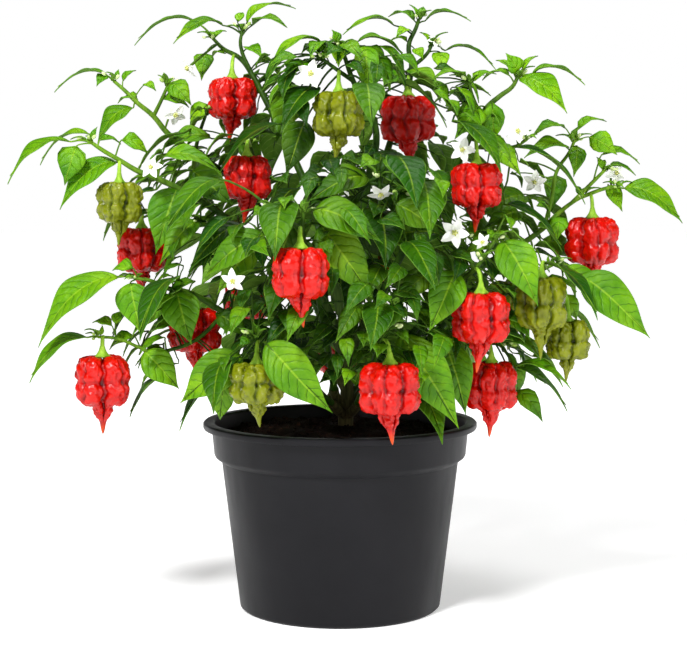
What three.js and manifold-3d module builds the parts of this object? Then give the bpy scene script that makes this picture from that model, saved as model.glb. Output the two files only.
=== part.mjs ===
// A potted chilli pepper plant: a bushy plant about 42 cm tall with ripe red and unripe green pods, in a plain black
// plastic nursery pot. Millimetres, +Z up, the origin on the surface that the pot stands on, under the pot's axis.
//
// The pot, the soil and the plant's bare scaffold are a solid each. Every leafy branch is one solid, with its stems,
// leaves and stalks grown together; each pod and each flower hangs from its stalk as a solid of its own.

import * as THREE from 'three';
import { mergeVertices } from 'three/addons/utils/BufferGeometryUtils.js';
import Module from 'manifold-3d';

const wasm = await Module();
wasm.setup();

const V = (x, y, z) => new THREE.Vector3(x, y, z);

// ---------------------------------------------------------------- driving dimensions

const GAP = 0.35; // left between solids that touch on the real plant
const TOLERANCE = 0.04; // edges shorter than this are closed up where solids are joined

const POT = {
  height: 130, rimRadius: 95, bandRadius: 89, bandHeight: 25, bodyRadius: 82.2, baseRadius: 70, wall: 1.8, floor: 2.2,
  chamfer: 1.5, // round its foot
  ledge: 2.4, ledgeRise: 3.2, taper: 1.6, // the step out to the band, and how much the band widens on its way up
  lip: 4.6, round: 1,
};
const POT_SIDES = 36;
const DRAIN = { holes: 6, radius: 4.5, sides: 6, ringRadius: 46 };

const SOIL = { top: 121, crown: 4.5, relief: 1.6, wallGap: 0.4, edgeDrop: 1.5, tilt: 0.012, wave: [0.13, 0.11] };
// Down the mound: the distance from the middle as a share of the soil's radius, and the height as one of the crown.
const MOUND = [[0.8, 0.36], [0.55, 0.7], [0.28, 1], [0, 1]];
const SOIL_SIDES = 18;

const TRUNK = {
  x: 4, foot: 84, hole: 6.4, holeSides: 8, radius: 5.8, topRadius: 3.8,
  line: [[4, 0, 84], [4, 0, 132], [5, 0, 150], [4, 1, 175], [2, 3, 202]],
  climb: 0.9, run: 7, // a limb rises at least this steeply, and runs straight before its branch
  limbExtra: 0.5, limbFlare: 0.6, // how much thicker a limb is than its branch, and again at its fork
};
const TWIG = { flare: 0.3, taper: 0.1 }; // a twig against its stem's tip: thicker at its root, thinner at its own tip
// What grows on a stem is rooted this far back along it, then a step further for each next thing, in turns of four.
const ROOT = { back: 1.4, step: 0.9, turns: 4, least: 0.04, aheadCost: 3 };
const ROOM = { step: 4, wood: 1, stem: 1.4, body: 1 }; // kept free round wood and fruit, at points a step apart

// The plant was measured from one viewpoint. A place [across, up, away] is the point `away` mm behind the pot's axis
// that is seen from there at (across, up) on the upright plane through the axis.
const EYE = V(2.4, -1120, 280);

// Branches at the back are front branches turned about the pot's axis: [cosine, sine, shrink].
const FRONT = [1, 0, 1];

// ---------------------------------------------------------------- the plant's branches
//
// back: how much further away the branch gets than the places below say, for each mm of its way from its root.
// stem and twigs: lists of places, root first.     thick: the stem's radius at its root and its tip.
// leaves: [across, up] of the blade's base, [across, up] of its tip, its width, how far its tip lies behind its base,
//         and which way its upper face looks: 0 is up, 1 is at the viewer.
// pods: [across, up, away] of the shoulder, width, length, turn about its own axis, and 1 for ripe.
// flowers: [across, up, away] of the centre, the way that it looks [x, y, z], and its width.

const BRANCHES = [
  {
    name: 'branch_top_left',
    back: 0.45,
    thick: [2.7, 1.2],
    stem: [
      [-22, 290, 2], [-38, 325, -4], [-52, 353, -8], [-60, 368, -10], [-68, 379, -10], [-80, 386, -6],
      [-87, 393, -2],
    ],
    twigs: [[[-60, 368, -10], [-68, 388, -16], [-67, 398, -18]]],
    leaves: [
      [-97, 403, -142, 390, 21, -8, 0.1], [-80, 402, -115, 391, 20, -26, 0.25], [-64, 403, -30, 415, 16, 20, 0.1],
      [-60, 402, -36, 402, 17, -14, 0.2], [-64, 386, -53, 380, 11, -14, 0.4], [-92, 383, -95, 365, 15, -10, 0.8],
      [-79, 383, -88, 381, 9, 10, 0.3], [-31, 362, -44, 322, 28, -14, 0.85], [-70, 404, -66, 411, 7, 6, 0.4],
    ],
    pods: [[-74, 366, -14, 34, 46, 0.3, 1]],
    flowers: [[-104, 373, -4, [-0.8, -0.3, -0.5], 17]],
  },
  {
    name: 'branch_top_centre',
    back: -0.1,
    thick: [2.9, 1.2],
    stem: [
      [8, 212, 4], [20, 300, 0], [25, 327, -5], [19, 346, -10], [9, 364, -12], [4, 378, -12], [1, 387, -10],
    ],
    twigs: [[[9, 364, -12], [-4, 373, -18], [-12, 379, -20]]],
    leaves: [
      [-13, 391, -50, 375, 20, -14, 0.15], [-11, 391, -16, 381, 8, -8, 0.6], [-2, 390, -5, 399, 9, 0, 0.3],
      [0, 388, -1, 374, 12, -14, 0.7], [17, 388, 21, 351, 17, -20, 0.8], [12, 391, 46, 381, 20, 10, 0.15],
      [-22, 377, -35, 367, 14, -8, 0.4], [-9, 380, -24, 376, 9, 8, 0.2], [-24, 337, -38, 299, 23, -14, 0.85],
    ],
    pods: [[-1, 357, -22, 32, 48, 1.1, 0]],
    flowers: [[-20, 369, -30, [-0.1, -1, 0.1], 20]],
  },
  {
    name: 'branch_top_right',
    back: 0.3,
    thick: [2.7, 1.2],
    stem: [[14, 220, 15], [28, 300, 14], [40, 340, 12], [49, 373, 6], [47, 388, 4], [52, 400, 2], [54, 406, 0]],
    twigs: [[[49, 373, 6], [60, 383, 0], [63, 389, -2]]],
    leaves: [
      [37, 402, 1, 397, 21, -6, 0.15], [51, 405, 33, 409, 14, 14, 0.1], [55, 406, 57, 415, 7, 4, 0.3],
      [58, 405, 90, 406, 20, -6, 0.1], [47, 399, 38, 394, 9, -8, 0.4], [46, 391, 34, 392, 9, 8, 0.2],
      [51, 386, 57, 379, 9, -6, 0.5], [68, 384, 70, 370, 13, -8, 0.85], [72, 385, 108, 373, 20, -6, 0.1],
      [45, 370, 70, 353, 19, -20, 0.3], [41, 370, 31, 360, 13, -8, 0.6],
    ],
    pods: [[46.5, 354, -14, 36, 52, 0.7, 1]],
    flowers: [[65, 391, -4, [0.5, -0.5, 0.6], 13]],
  },
  {
    name: 'branch_right_upper',
    back: -0.2,
    thick: [2.8, 1.2],
    stem: [
      [22, 205, 20], [52, 262, 10], [76, 298, 4], [89, 325, 0], [100, 345, -3], [110, 354, -3],
      [118, 360, -2], [122, 367, 0],
    ],
    twigs: [
      [[97, 340, -2], [91, 353, -6], [88, 363, -8]],
      [[89, 325, 0], [104, 321, 6], [119, 319, 6], [128, 324, 4]],
    ],
    leaves: [
      [87, 366, 62, 366, 18, -10, 0.15], [91, 364, 107, 370, 14, 6, 0.2], [90, 353, 63, 350, 18, 10, 0.15],
      [96, 347, 79, 325, 19, -18, 0.8], [104, 350, 106, 322, 16, 10, 0.8], [118, 371, 107, 379, 8, 4, 0.3],
      [122, 370, 114, 383, 13, -4, 0.7], [125, 371, 135, 382, 7, 6, 0.2], [131, 369, 169, 363, 20, 6, 0.1],
      [123, 366, 157, 343, 23, -16, 0.45], [116, 368, 97, 366, 14, 12, 0.2], [103, 320, 125, 300, 16, -14, 0.6],
    ],
    pods: [[94, 308, -14, 33, 47, 0.2, 1]],
    flowers: [[84, 317, -20, [0, -1, 0.1], 18], [122, 330, 0, [0.1, -1, 0], 17]],
  },
  {
    name: 'branch_right',
    back: 0.12,
    thick: [2.8, 1.2],
    stem: [
      [30, 166, 10], [72, 214, 2], [100, 238, -4], [120, 249, -6], [141, 264, -6], [150, 273, -5],
      [160, 281, -4], [167, 285, -2],
    ],
    twigs: [
      [[160, 281, -4], [176, 297, -4], [182, 303, -4]],
      [[167, 285, -2], [184, 291, -4], [191, 292, -4]],
      [[141, 264, -6], [146, 285, -8], [149, 302, -8], [158, 316, -6], [161, 323, -5]],
    ],
    leaves: [
      [155, 332, 131, 327, 18, -6, 0.2], [163, 331, 183, 338, 12, 8, 0.2], [157, 318, 126, 313, 21, -12, 0.3],
      [163, 320, 161, 299, 13, -10, 0.85], [171, 326, 191, 314, 17, -4, 0.75], [180, 314, 207, 309, 14, 6, 0.3],
      [183, 305, 204, 301, 13, -6, 0.2], [195, 291, 238, 268, 27, -10, 0.4], [185, 293, 195, 275, 12, -8, 0.7],
      [149, 300, 146, 275, 17, -14, 0.85], [128, 285, 93, 270, 21, -26, 0.6], [124, 274, 98, 263, 18, -20, 0.6],
      [151, 272, 150, 255, 14, -6, 0.8], [140, 256, 162, 242, 17, 8, 0.6],
    ],
    pods: [[174, 271, -6, 35, 53, 0.9, 1]],
    flowers: [[134, 295, -14, [-0.2, -1, -0.2], 17], [190, 301, 2, [0.3, -0.8, 0.3], 17]],
  },
  {
    name: 'branch_right_low',
    back: -0.2,
    thick: [2.5, 1.1],
    stem: [[26, 152, 0], [75, 190, -10], [110, 215, -14], [135, 232, -14], [147, 238, -14]],
    twigs: [
      [[135, 232, -14], [150, 226, -12], [160, 228, -10]],
      [[75, 190, -10], [100, 184, -16], [112, 183, -18]],
    ],
    leaves: [
      [165, 231, 217, 187, 29, -4, 0.7], [157, 238, 180, 207, 17, 12, 0.5], [155, 218, 165, 199, 12, 4, 0.6],
      [117, 206, 132, 187, 17, -6, 0.5], [113, 186, 143, 170, 17, 8, 0.3], [122, 168, 162, 153, 15, -2, 0.2],
      [118, 172, 124, 146, 16, 10, 0.5], [122, 151, 142, 129, 15, 0, 0.5],
    ],
    pods: [[139.5, 230, -36, 31, 55, 0.5, 0], [158, 200, -16, 28, 43, 0.2, 0], [105, 171, -30, 33, 52, 0.9, 1]],
    flowers: [],
  },
  {
    name: 'branch_right_front',
    back: 0,
    thick: [2.5, 1.2],
    stem: [[22, 152, -14], [52, 186, -50], [78, 222, -72], [93, 235, -80], [98, 241, -82]],
    twigs: [
      [[93, 235, -80], [87, 247, -80], [85, 254, -78]],
      [[98, 241, -82], [104, 250, -80], [107, 255, -78]],
    ],
    leaves: [
      [112, 255, 138, 209, 27, -16, 0.75], [80, 234, 61, 191, 25, -16, 0.8], [61, 233, 40, 212, 18, -10, 0.7],
      [103, 253, 86, 246, 13, -8, 0.5], [70, 259, 31, 256, 22, 12, 0.6], [72, 186, 88, 132, 25, -10, 0.8],
    ],
    pods: [[97.5, 219, -88, 35, 52, 0.4, 1]],
    flowers: [[79, 260, -90, [0.1, -1, 0.1], 20], [98, 254, -88, [0.3, -0.6, -0.4], 13]],
  },
  {
    name: 'branch_front_right_low',
    back: 0,
    thick: [2.3, 1.1],
    stem: [[12, 142, -20], [22, 166, -66], [28, 184, -92], [33, 192, -102]],
    twigs: [[[28, 184, -92], [37, 198, -98], [38, 207, -98]]],
    leaves: [
      [41, 190, 84, 122, 31, -6, 0.85], [26, 205, 0, 199, 16, -8, 0.25], [35, 210, 25, 208, 7, -6, 0.3],
      [40, 207, 47, 202, 8, -4, 0.6], [30, 199, 23, 189, 8, -6, 0.8], [15, 169, 10, 153, 14, 10, 0.8],
    ],
    pods: [[34.5, 170, -112, 36, 52, 0.6, 1]],
    flowers: [],
  },
  {
    name: 'branch_front_centre',
    back: 0,
    thick: [2.5, 1.2],
    stem: [[-4, 152, -16], [-12, 200, -62], [-20, 240, -92], [-26, 262, -104], [-25, 274, -104]],
    twigs: [[[-26, 262, -104], [-38, 270, -98], [-48, 277, -94]]],
    leaves: [
      [-19, 276, 31, 254, 27, -8, 0.55], [-14, 266, 25, 211, 28, -10, 0.85], [-33, 265, -45, 231, 20, 8, 0.85],
      [-51, 259, -96, 229, 22, 4, 0.6], [-58, 252, -86, 217, 20, -8, 0.75], [-30, 281, -40, 283, 9, -4, 0.3],
      [-44, 280, -34, 271, 10, -8, 0.6], [-53, 277, -60, 272, 8, -4, 0.6],
    ],
    pods: [[-27.5, 250, -124, 36, 50, 0.1, 1]],
    flowers: [[-74, 227, -112, [-0.3, -0.9, -0.4], 17]],
  },
  {
    name: 'branch_front_upper',
    back: 0,
    thick: [2.5, 1.2],
    stem: [[4, 196, -10], [6, 240, -40], [10, 278, -66], [20, 295, -78], [26, 298, -80]],
    twigs: [[[20, 295, -78], [34, 291, -80], [40, 288, -80]]],
    leaves: [
      [20, 298, -24, 282, 24, -12, 0.5], [37, 290, 72, 268, 23, -6, 0.6], [38, 280, 66, 262, 20, 8, 0.7],
      [14, 268, 34, 240, 20, 10, 0.8], [2, 272, -16, 244, 20, 12, 0.8],
    ],
    pods: [],
    flowers: [[28, 287, -88, [0.1, -0.55, -0.8], 18]],
  },
  {
    name: 'branch_front_left_low',
    back: 0,
    thick: [2.4, 1.1],
    stem: [[-6, 142, -20], [-30, 162, -62], [-50, 179, -86], [-59, 187, -92]],
    twigs: [],
    leaves: [
      [-68, 176, -113, 141, 28, 0, 0.75], [-52, 184, -4, 134, 28, -6, 0.85], [-80, 158, -84, 129, 16, 10, 0.8],
      [-63, 187, -70, 182, 7, -4, 0.6], [-58, 190, -60, 198, 6, -4, 0.5],
    ],
    pods: [[-58, 170, -98, 32, 42, 0.8, 0]],
    flowers: [],
  },
  {
    name: 'branch_left_low',
    back: -0.2,
    thick: [2.6, 1.1],
    stem: [
      [-12, 172, -6], [-45, 190, -24], [-80, 205, -32], [-105, 219, -34], [-120, 222, -34], [-131, 227, -33],
      [-142, 229, -32],
    ],
    twigs: [
      [
        [-80, 205, -32], [-100, 186, -30], [-118, 179, -30], [-130, 177, -29], [-140, 181, -28], [-155, 187, -27],
        [-168, 188, -26],
      ],
    ],
    leaves: [
      [-152, 230, -212, 182, 29, -8, 0.35], [-143, 236, -158, 235, 13, 6, 0.4], [-145, 226, -139, 190, 24, -8, 0.85],
      [-121, 219, -138, 193, 19, 10, 0.6], [-113, 220, -103, 182, 26, -14, 0.85], [-175, 188, -218, 157, 20, -6, 0.2],
      [-158, 196, -172, 199, 11, 6, 0.3], [-156, 197, -151, 207, 8, 4, 0.4], [-143, 189, -161, 180, 12, 6, 0.4],
      [-136, 178, -111, 151, 22, -6, 0.7], [-122, 164, -139, 155, 11, 14, 0.2], [-117, 197, -134, 191, 15, 10, 0.4],
      [-86, 204, -62, 189, 17, -8, 0.6],
    ],
    pods: [[-165, 175, -28, 37, 53, 0.2, 1], [-101, 208, -6, 34, 48, 0.6, 1]],
    flowers: [],
  },
  {
    name: 'branch_left',
    back: -0.15,
    thick: [2.8, 1.2],
    stem: [
      [-20, 222, 4], [-55, 252, -8], [-85, 275, -16], [-104, 287, -18], [-125, 297, -18], [-140, 303, -16],
      [-150, 309, -14], [-165, 318, -12], [-172, 323, -10],
    ],
    twigs: [
      [[-104, 287, -18], [-120, 278, -14], [-134, 274, -10]],
      [[-85, 275, -16], [-92, 270, -24], [-96, 268, -28]],
    ],
    leaves: [
      [-185, 323, -231, 295, 23, -4, 0.2], [-172, 328, -208, 308, 18, 10, 0.2],
      [-181, 320, -190, 293, 20, -8, 0.85], [-153, 309, -195, 277, 25, -8, 0.4], [-165, 324, -150, 322, 11, 6, 0.3],
      [-150, 324, -131, 315, 16, 8, 0.5], [-122, 312, -80, 302, 21, -10, 0.35], [-102, 303, -73, 279, 23, -14, 0.8],
      [-112, 291, -128, 245, 29, -12, 0.85], [-97, 268, -126, 238, 18, -14, 0.5],
    ],
    pods: [[-152, 295, -16, 29, 43, 0.5, 0], [-137, 264, 10, 31, 49, 0.9, 1]],
    flowers: [[-130, 305, -36, [-0.2, -0.8, 0.4], 16]],
  },
  {
    name: 'branch_left_upper',
    back: 0.2,
    thick: [2.8, 1.2],
    stem: [
      [-14, 205, 14], [-45, 262, 14], [-72, 295, 12], [-100, 315, 8], [-118, 328, 5], [-128, 340, 3],
      [-140, 350, 0], [-147, 357, 0], [-155, 364, 0],
    ],
    twigs: [
      [[-128, 340, 3], [-122, 352, 2], [-118, 361, 2]],
      [[-100, 315, 8], [-96, 330, 4], [-92, 341, 2]],
      [[-45, 262, 14], [-56, 300, 4], [-62, 321, -4]],
    ],
    leaves: [
      [-158, 367, -197, 358, 19, -6, 0.1], [-160, 368, -167, 361, 9, -8, 0.5], [-149, 364, -140, 372, 7, 4, 0.3],
      [-142, 346, -168, 322, 21, -8, 0.35], [-139, 352, -153, 350, 12, 8, 0.3], [-116, 363, -102, 348, 16, -6, 0.7],
      [-122, 352, -103, 347, 15, 6, 0.4], [-90, 348, -104, 334, 15, 6, 0.6], [-88, 325, -124, 318, 21, -10, 0.4],
      [-134, 362, -126, 358, 8, -6, 0.4], [-70, 322, -52, 306, 18, 10, 0.6],
    ],
    pods: [[-64, 313, -23, 32, 48, 0.4, 1]],
    flowers: [[-113, 341, -6, [0.3, -0.8, -0.4], 17]],
  },
];

// The back of the plant repeats the front's branches, turned about the pot's axis.
const BACK = [
  { name: 'branch_back_left', like: 'branch_right_front', turn: [-0.96, 0.28, 1.15], ripe: 1, blooms: false },
  { name: 'branch_back_right', like: 'branch_right_front', turn: [0.28, 0.96, 1.15], ripe: 0, blooms: false },
  { name: 'branch_back_low_left', like: 'branch_front_right_low', turn: [-0.96, 0.28, 1.1], ripe: 1, blooms: false },
  { name: 'branch_back_centre', like: 'branch_front_centre', turn: [-1, 0, 1.2], ripe: 1, blooms: true },
  { name: 'branch_back_upper', like: 'branch_front_upper', turn: [-0.936, 0.352, 1.15], ripe: 1, blooms: true },
  { name: 'branch_back_low_right', like: 'branch_front_left_low', turn: [-1, 0, 1.15], ripe: 0, blooms: false },
];

// Inside the crown, leaves stand round smaller domes. Each hangs on the stem that is nearest to it.
const INNER = {
  seed: 20, low: 158, high: 370, middle: 240, dome: [140, 112, 140], longestStalk: 42,
  shells: [[1, 44], [0.74, 34], [0.46, 20]], // how far out each shell of leaves stands, and how many it has
  shortest: 44, longest: 64, widthShare: 0.46, reach: 0.8, droop: 0.6, upward: 0.8, arch: 0.12, sway: 1.2,
  insets: [0, -0.07, 0.07, -0.14], lifts: [0, 9, -9], swings: [0, 0.22, -0.22], // tried in turn
  sharpest: -0.25, // the cosine of the sharpest turn from a leaf's stalk into its blade
};
const GOLDEN_TURN = Math.PI * (3 - Math.sqrt(5));
const DRAW = { factor: 48271, span: 2147483647 };

const LEAF = {
  thickness: 0.8, fold: 0.16, wave: 0.07, archUp: 0.2, archFacing: 0.1, archPeak: 0.75, widestAt: 0.36, taper: 0.35,
  rows: [0.2, 0.46, 0.76], longLength: 60, midRows: [0.26, 0.64], midLength: 30, shortRows: [0.4],
  smallest: 24, stalkRadius: 0.9, rootRadius: 0.5, stalkRise: 0.15,
  stalkRoom: 1.2, stalkFree: 3, ownRoom: 1.25, ownFrom: 0.3, // how its stalk and its own branch's wood are kept clear
};
// The fruit and blooms in front stay in view: how far round each, as a share of its size, no leaf hangs before it.
const SHOWN = { middle: 0.36, across: 0.48, tall: 0.42, bloom: 0.44 };
const HALF_HIDDEN = ['pod_left_low_2', 'pod_left_2']; // leaves of their own branches do hang before these
const SPACING = 2.6; // between the points that a blade is tested at
const CLEAR = 1.85; // round each of them, over half the diagonal between four such points
const SHIFTS = [0, -6, 6, -12, 12, -18, 18, -24, 24, -30, 30, -36, 36]; // along the line of sight, tried in turn

const POD_SIDES = 12;
const POD = {
  lobes: 4, groove: 0.2,
  bumps: 5, bump: 0.05, bumpShift: 2.1, bumpTurn: 7, // low bumps round each ring, shifted from ring to ring
  lean: 3, leanFrom: 0.66, leanTurn: 9, // the tail leans a little to one side
  // radius as a share of half the width, height as a share of the length, depth of the grooves there
  rings: [
    [0.38, -0.03, 0.3], [0.76, 0, 0.7], [1, -0.17, 1], [0.95, -0.41, 1], [0.5, -0.63, 0.7], [0.16, -0.82, 0],
  ],
  hollow: -0.034, stalkRadius: 1.3, stalkFlare: 0.5, stalkRise: 15, stalkSink: 1,
  calyx: 0.34, cap: [[0, -1.1], [1, -0.7], [0.5, 2.2], [0, 3]], capSides: 6,
  // how far down, and how wide there
  room: [[0.14, 0.34], [0.3, 0.5], [0.62, 0.25], [0.74, 0.25], [0.86, 0.09], [0.97, 0.09]],
};

const FLOWER = {
  petals: 5, notch: 0.34, shoulder: 0.66, shoulderTurn: 0.24, thickness: 0.8, droop: 1.2, room: 0.42,
  stalkRadius: 0.8, stalkFlare: 0.5, stalkRun: 8, stalkRise: 3,
};

const COLOUR = {
  pot: 0x2b2b2e, soil: 0x2a1c14, bark: 0x5b6b2c, leaf: 0x3f8f22, ripe: 0xd81a14, unripe: 0x7f8d24, petal: 0xf6f6ee,
};

// ---------------------------------------------------------------- closed shapes

// Turns a three.js geometry into a solid. Its shared corners are merged first.
function solidOf(geometry) {
  const bare = geometry.clone();
  bare.deleteAttribute('normal');
  bare.deleteAttribute('uv');
  const merged = mergeVertices(bare, 1e-4);
  return new wasm.Manifold(new wasm.Mesh({
    numProp: 3,
    vertProperties: new Float32Array(merged.attributes.position.array),
    triVerts: new Uint32Array(merged.index.array),
    tolerance: TOLERANCE,
  }));
}

// Joins solids into one body. Where faces meet just so, a join can leave a speck of no size, which is dropped.
function joined(solids) {
  return wasm.Manifold.union(solids).decompose().sort((a, b) => b.volume() - a.volume())[0];
}

function geometryOf(solid) {
  const { vertProperties, triVerts } = solid.getMesh();
  const geometry = new THREE.BufferGeometry();
  geometry.setAttribute('position', new THREE.BufferAttribute(new Float32Array(vertProperties), 3));
  geometry.setIndex(new THREE.BufferAttribute(new Uint32Array(triVerts), 1));
  return geometry;
}

function geometryFrom(corners, triangles) {
  const geometry = new THREE.BufferGeometry();
  geometry.setAttribute('position', new THREE.Float32BufferAttribute(corners.flatMap((c) => c.toArray()), 3));
  geometry.setIndex(triangles.flat());
  return geometry;
}

// A closed skin over rings of equally many corners, with flat ends. Seen along their order, each turns clockwise.
function loft(rings) {
  const sides = rings[0].length;
  const corners = rings.flat();
  const triangles = [];
  for (let r = 1; r < rings.length; r += 1) {
    for (let s = 0; s < sides; s += 1) {
      const a = (r - 1) * sides + s;
      const b = (r - 1) * sides + (s + 1) % sides;
      triangles.push([a, a + sides, b], [b, a + sides, b + sides]);
    }
  }
  const last = (rings.length - 1) * sides;
  for (let s = 1; s < sides - 1; s += 1) {
    triangles.push([0, s, s + 1], [last, last + s + 1, last + s]);
  }
  return solidOf(geometryFrom(corners, triangles));
}

// A profile of [radius, height] turned about the upright axis.
function turnedProfile(profile, sides) {
  return new THREE.LatheGeometry(profile.map(([r, z]) => new THREE.Vector2(r, z)), sides).rotateX(Math.PI / 2);
}

// A tapering tube of flat sides through a list of points. One side is carried on from ring to ring, untwisted.
function tube(points, startRadius, endRadius, sides) {
  const first = points[1].clone().sub(points[0]).normalize();
  const across = new THREE.Vector3().crossVectors(first, Math.abs(first.y) < 0.9 ? V(0, 1, 0) : V(1, 0, 0));
  const rings = points.map((point, i) => {
    const before = points[Math.max(i - 1, 0)];
    const after = points[Math.min(i + 1, points.length - 1)];
    const way = after.clone().sub(before).normalize();
    across.addScaledVector(way, -across.dot(way)).normalize();
    const other = new THREE.Vector3().crossVectors(way, across);
    const radius = startRadius + (endRadius - startRadius) * i / (points.length - 1);
    return Array.from({ length: sides }, (_, s) => {
      const angle = -2 * Math.PI * s / sides;
      return point.clone()
        .addScaledVector(across, radius * Math.cos(angle))
        .addScaledVector(other, radius * Math.sin(angle));
    });
  });
  return loft(rings);
}

function above(point, height) {
  return point.clone().add(V(0, 0, height));
}

function bend(start, middle, end, steps) {
  return new THREE.QuadraticBezierCurve3(start, middle, end).getPoints(steps);
}

// ---------------------------------------------------------------- places

function turned(x, y, z, [cosine, sine, spread]) {
  return V((x * cosine - y * sine) * spread, (x * sine + y * cosine) * spread, z);
}

function place([across, up, away], { turn, back, stem: [root] }) {
  const deep = away + back * Math.hypot(across - root[0], up - root[1]);
  const scale = (deep - EYE.y) / -EYE.y;
  return turned(EYE.x + (across - EYE.x) * scale, deep, EYE.z + (up - EYE.z) * scale, turn);
}

// The point of a branch's lines that is seen nearest to (across, up), as [across, up, away]. What grows there is
// rooted a little way back along the wood, each thing by its own step, so that it sinks in and no two roots meet.
// A point that lies ahead of it, in the direction seen, is less good.
function nearestSeen(lines, across, up, order, heading = [0, 0]) {
  const back = ROOT.back + ROOT.step * (order % ROOT.turns);
  let best = null;
  let bestGap = Infinity;
  for (const line of lines) {
    for (let i = 1; i < line.length; i += 1) {
      const from = line[i - 1];
      const step = line[i].map((value, k) => value - from[k]);
      const share = ((across - from[0]) * step[0] + (up - from[1]) * step[1]) / (step[0] ** 2 + step[1] ** 2);
      const long = Math.hypot(step[0], step[1]);
      const kept = Math.min(Math.max(Math.min(share, 1) - back / long, ROOT.least), 1 - ROOT.least);
      const spot = from.map((value, k) => value + step[k] * kept);
      const aside = [spot[0] - across, spot[1] - up];
      const ahead = (aside[0] * heading[0] + aside[1] * heading[1]) / (Math.hypot(...heading) || 1);
      const gap = Math.hypot(...aside) + ROOT.aheadCost * Math.max(ahead, 0);
      if (gap < bestGap) {
        best = spot;
        bestGap = gap;
      }
    }
  }
  return best;
}

// What stands already: balls [x, y, z, radius, name of the solid], which a new leaf keeps clear of.
const taken = [];

function take(points, radius, owner) {
  for (const p of points) {
    taken.push([p.x, p.y, p.z, radius, owner]);
  }
}

// Points every few millimetres along a line.
function along(points, step = ROOM.step) {
  const found = [];
  for (let i = 1; i < points.length; i += 1) {
    const count = Math.ceil(points[i - 1].distanceTo(points[i]) / step);
    for (let k = 0; k <= count; k += 1) {
      found.push(points[i - 1].clone().lerp(points[i], k / count));
    }
  }
  return found;
}

// Whether points keep clear of what other branches hold or, with others false, of what their own branch holds.
function isClear(points, radius, owner, others = true) {
  const middle = points[Math.floor(points.length / 2)];
  const far = Math.max(...points.map((p) => p.distanceTo(middle))) + radius;
  const near = taken.filter(([x, y, z, r, name]) => (name === owner) !== others
    && Math.hypot(x - middle.x, y - middle.y, z - middle.z) <= far + r);
  return points.every((p) => near.every(
    ([x, y, z, r]) => (p.x - x) ** 2 + (p.y - y) ** 2 + (p.z - z) ** 2 > (r + radius) ** 2,
  ));
}

// ---------------------------------------------------------------- the pot and its soil

function makePot() {
  const {
    height, rimRadius, bandRadius, bandHeight, bodyRadius, baseRadius, wall, floor, chamfer, ledge, ledgeRise, taper,
    lip, round,
  } = POT;
  const step = height - bandHeight - ledge;
  const bandFoot = step + ledgeRise + taper;
  const profile = [
    [0, 0], [baseRadius - chamfer, 0], [baseRadius, chamfer], [bodyRadius, step],
    [bandRadius - ledge, step + ledgeRise], [bandRadius - taper, bandFoot], [bandRadius, height - lip - round],
    [rimRadius - round / 2, height - lip], [rimRadius, height - lip + round], [rimRadius, height - round],
    [rimRadius - round, height], [bandRadius - wall + round, height], [bandRadius - wall, height - round],
    [bandRadius - taper - wall, bandFoot], [bodyRadius - wall, step + round], [baseRadius - wall, floor], [0, floor],
  ];
  let pot = solidOf(turnedProfile(profile, POT_SIDES));
  for (let i = 0; i < DRAIN.holes; i += 1) {
    const angle = 2 * Math.PI * (i + 0.5) / DRAIN.holes;
    const drill = new THREE.CylinderGeometry(DRAIN.radius, DRAIN.radius, height, DRAIN.sides).rotateX(Math.PI / 2)
      .translate(DRAIN.ringRadius * Math.cos(angle), DRAIN.ringRadius * Math.sin(angle), 0);
    const lowered = solidOf(drill).translate([0, 0, floor + round - height / 2]);
    pot = pot.subtract(lowered);
  }
  return pot;
}

// The soil fills the pot, mounded a little and rough on top, with a plain round hole where the trunk stands in it.
function makeSoil() {
  const { height, bandHeight, bandRadius, bodyRadius, baseRadius, wall, floor, ledge, taper } = POT;
  const step = height - bandHeight - ledge;
  const inset = wall + SOIL.wallGap;
  const low = floor + GAP;
  const wallAt = (z) => baseRadius + (bodyRadius - baseRadius) * z / step - inset;
  const edge = bandRadius - taper - inset;
  const profile = [
    [0, low], [wallAt(low), low], [wallAt(step) - 1, step], [edge - 1, step + bandHeight / 4],
    [edge, SOIL.top - SOIL.edgeDrop], ...MOUND.map(([share, rise]) => [edge * share, SOIL.top + SOIL.crown * rise]),
  ];
  const lathe = turnedProfile(profile, SOIL_SIDES);
  const corners = lathe.attributes.position;
  for (let i = 0; i < corners.count; i += 1) {
    const [x, y, z] = [corners.getX(i), corners.getY(i), corners.getZ(i)];
    if (z > SOIL.top && Math.hypot(x, y) > 1) {
      const relief = SOIL.relief * Math.sin(x * SOIL.wave[0] + 1) * Math.cos(y * SOIL.wave[1]);
      corners.setZ(i, z + relief - x * SOIL.tilt);
    }
  }
  const hole = new THREE.CylinderGeometry(TRUNK.hole, TRUNK.hole, height, TRUNK.holeSides).rotateX(Math.PI / 2)
    .translate(TRUNK.x, 0, TRUNK.foot - GAP + height / 2);
  return solidOf(lathe).subtract(solidOf(hole));
}

// ---------------------------------------------------------------- the plant's layout

// Every branch in its place, the turned ones at the back included.
const branches = [
  ...BRANCHES.map((b) => ({ ...b, turn: FRONT })),
  ...BACK.map(({ name, like, turn, ripe, blooms }) => {
    const b = BRANCHES.find((one) => one.name === like);
    const fruit = b.pods.map((pod) => [...pod.slice(0, -1), ripe]);
    return { ...b, name, turn, pods: fruit, flowers: blooms ? b.flowers : [] };
  }),
];
for (const b of branches) {
  b.lines = [b.stem, ...b.twigs];
  b.routes = b.lines.map((line) => line.map((spot) => place(spot, b)));
  b.heading = b.routes[0][1].clone().sub(b.routes[0][0]).normalize();
  b.solids = [];
}

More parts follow.
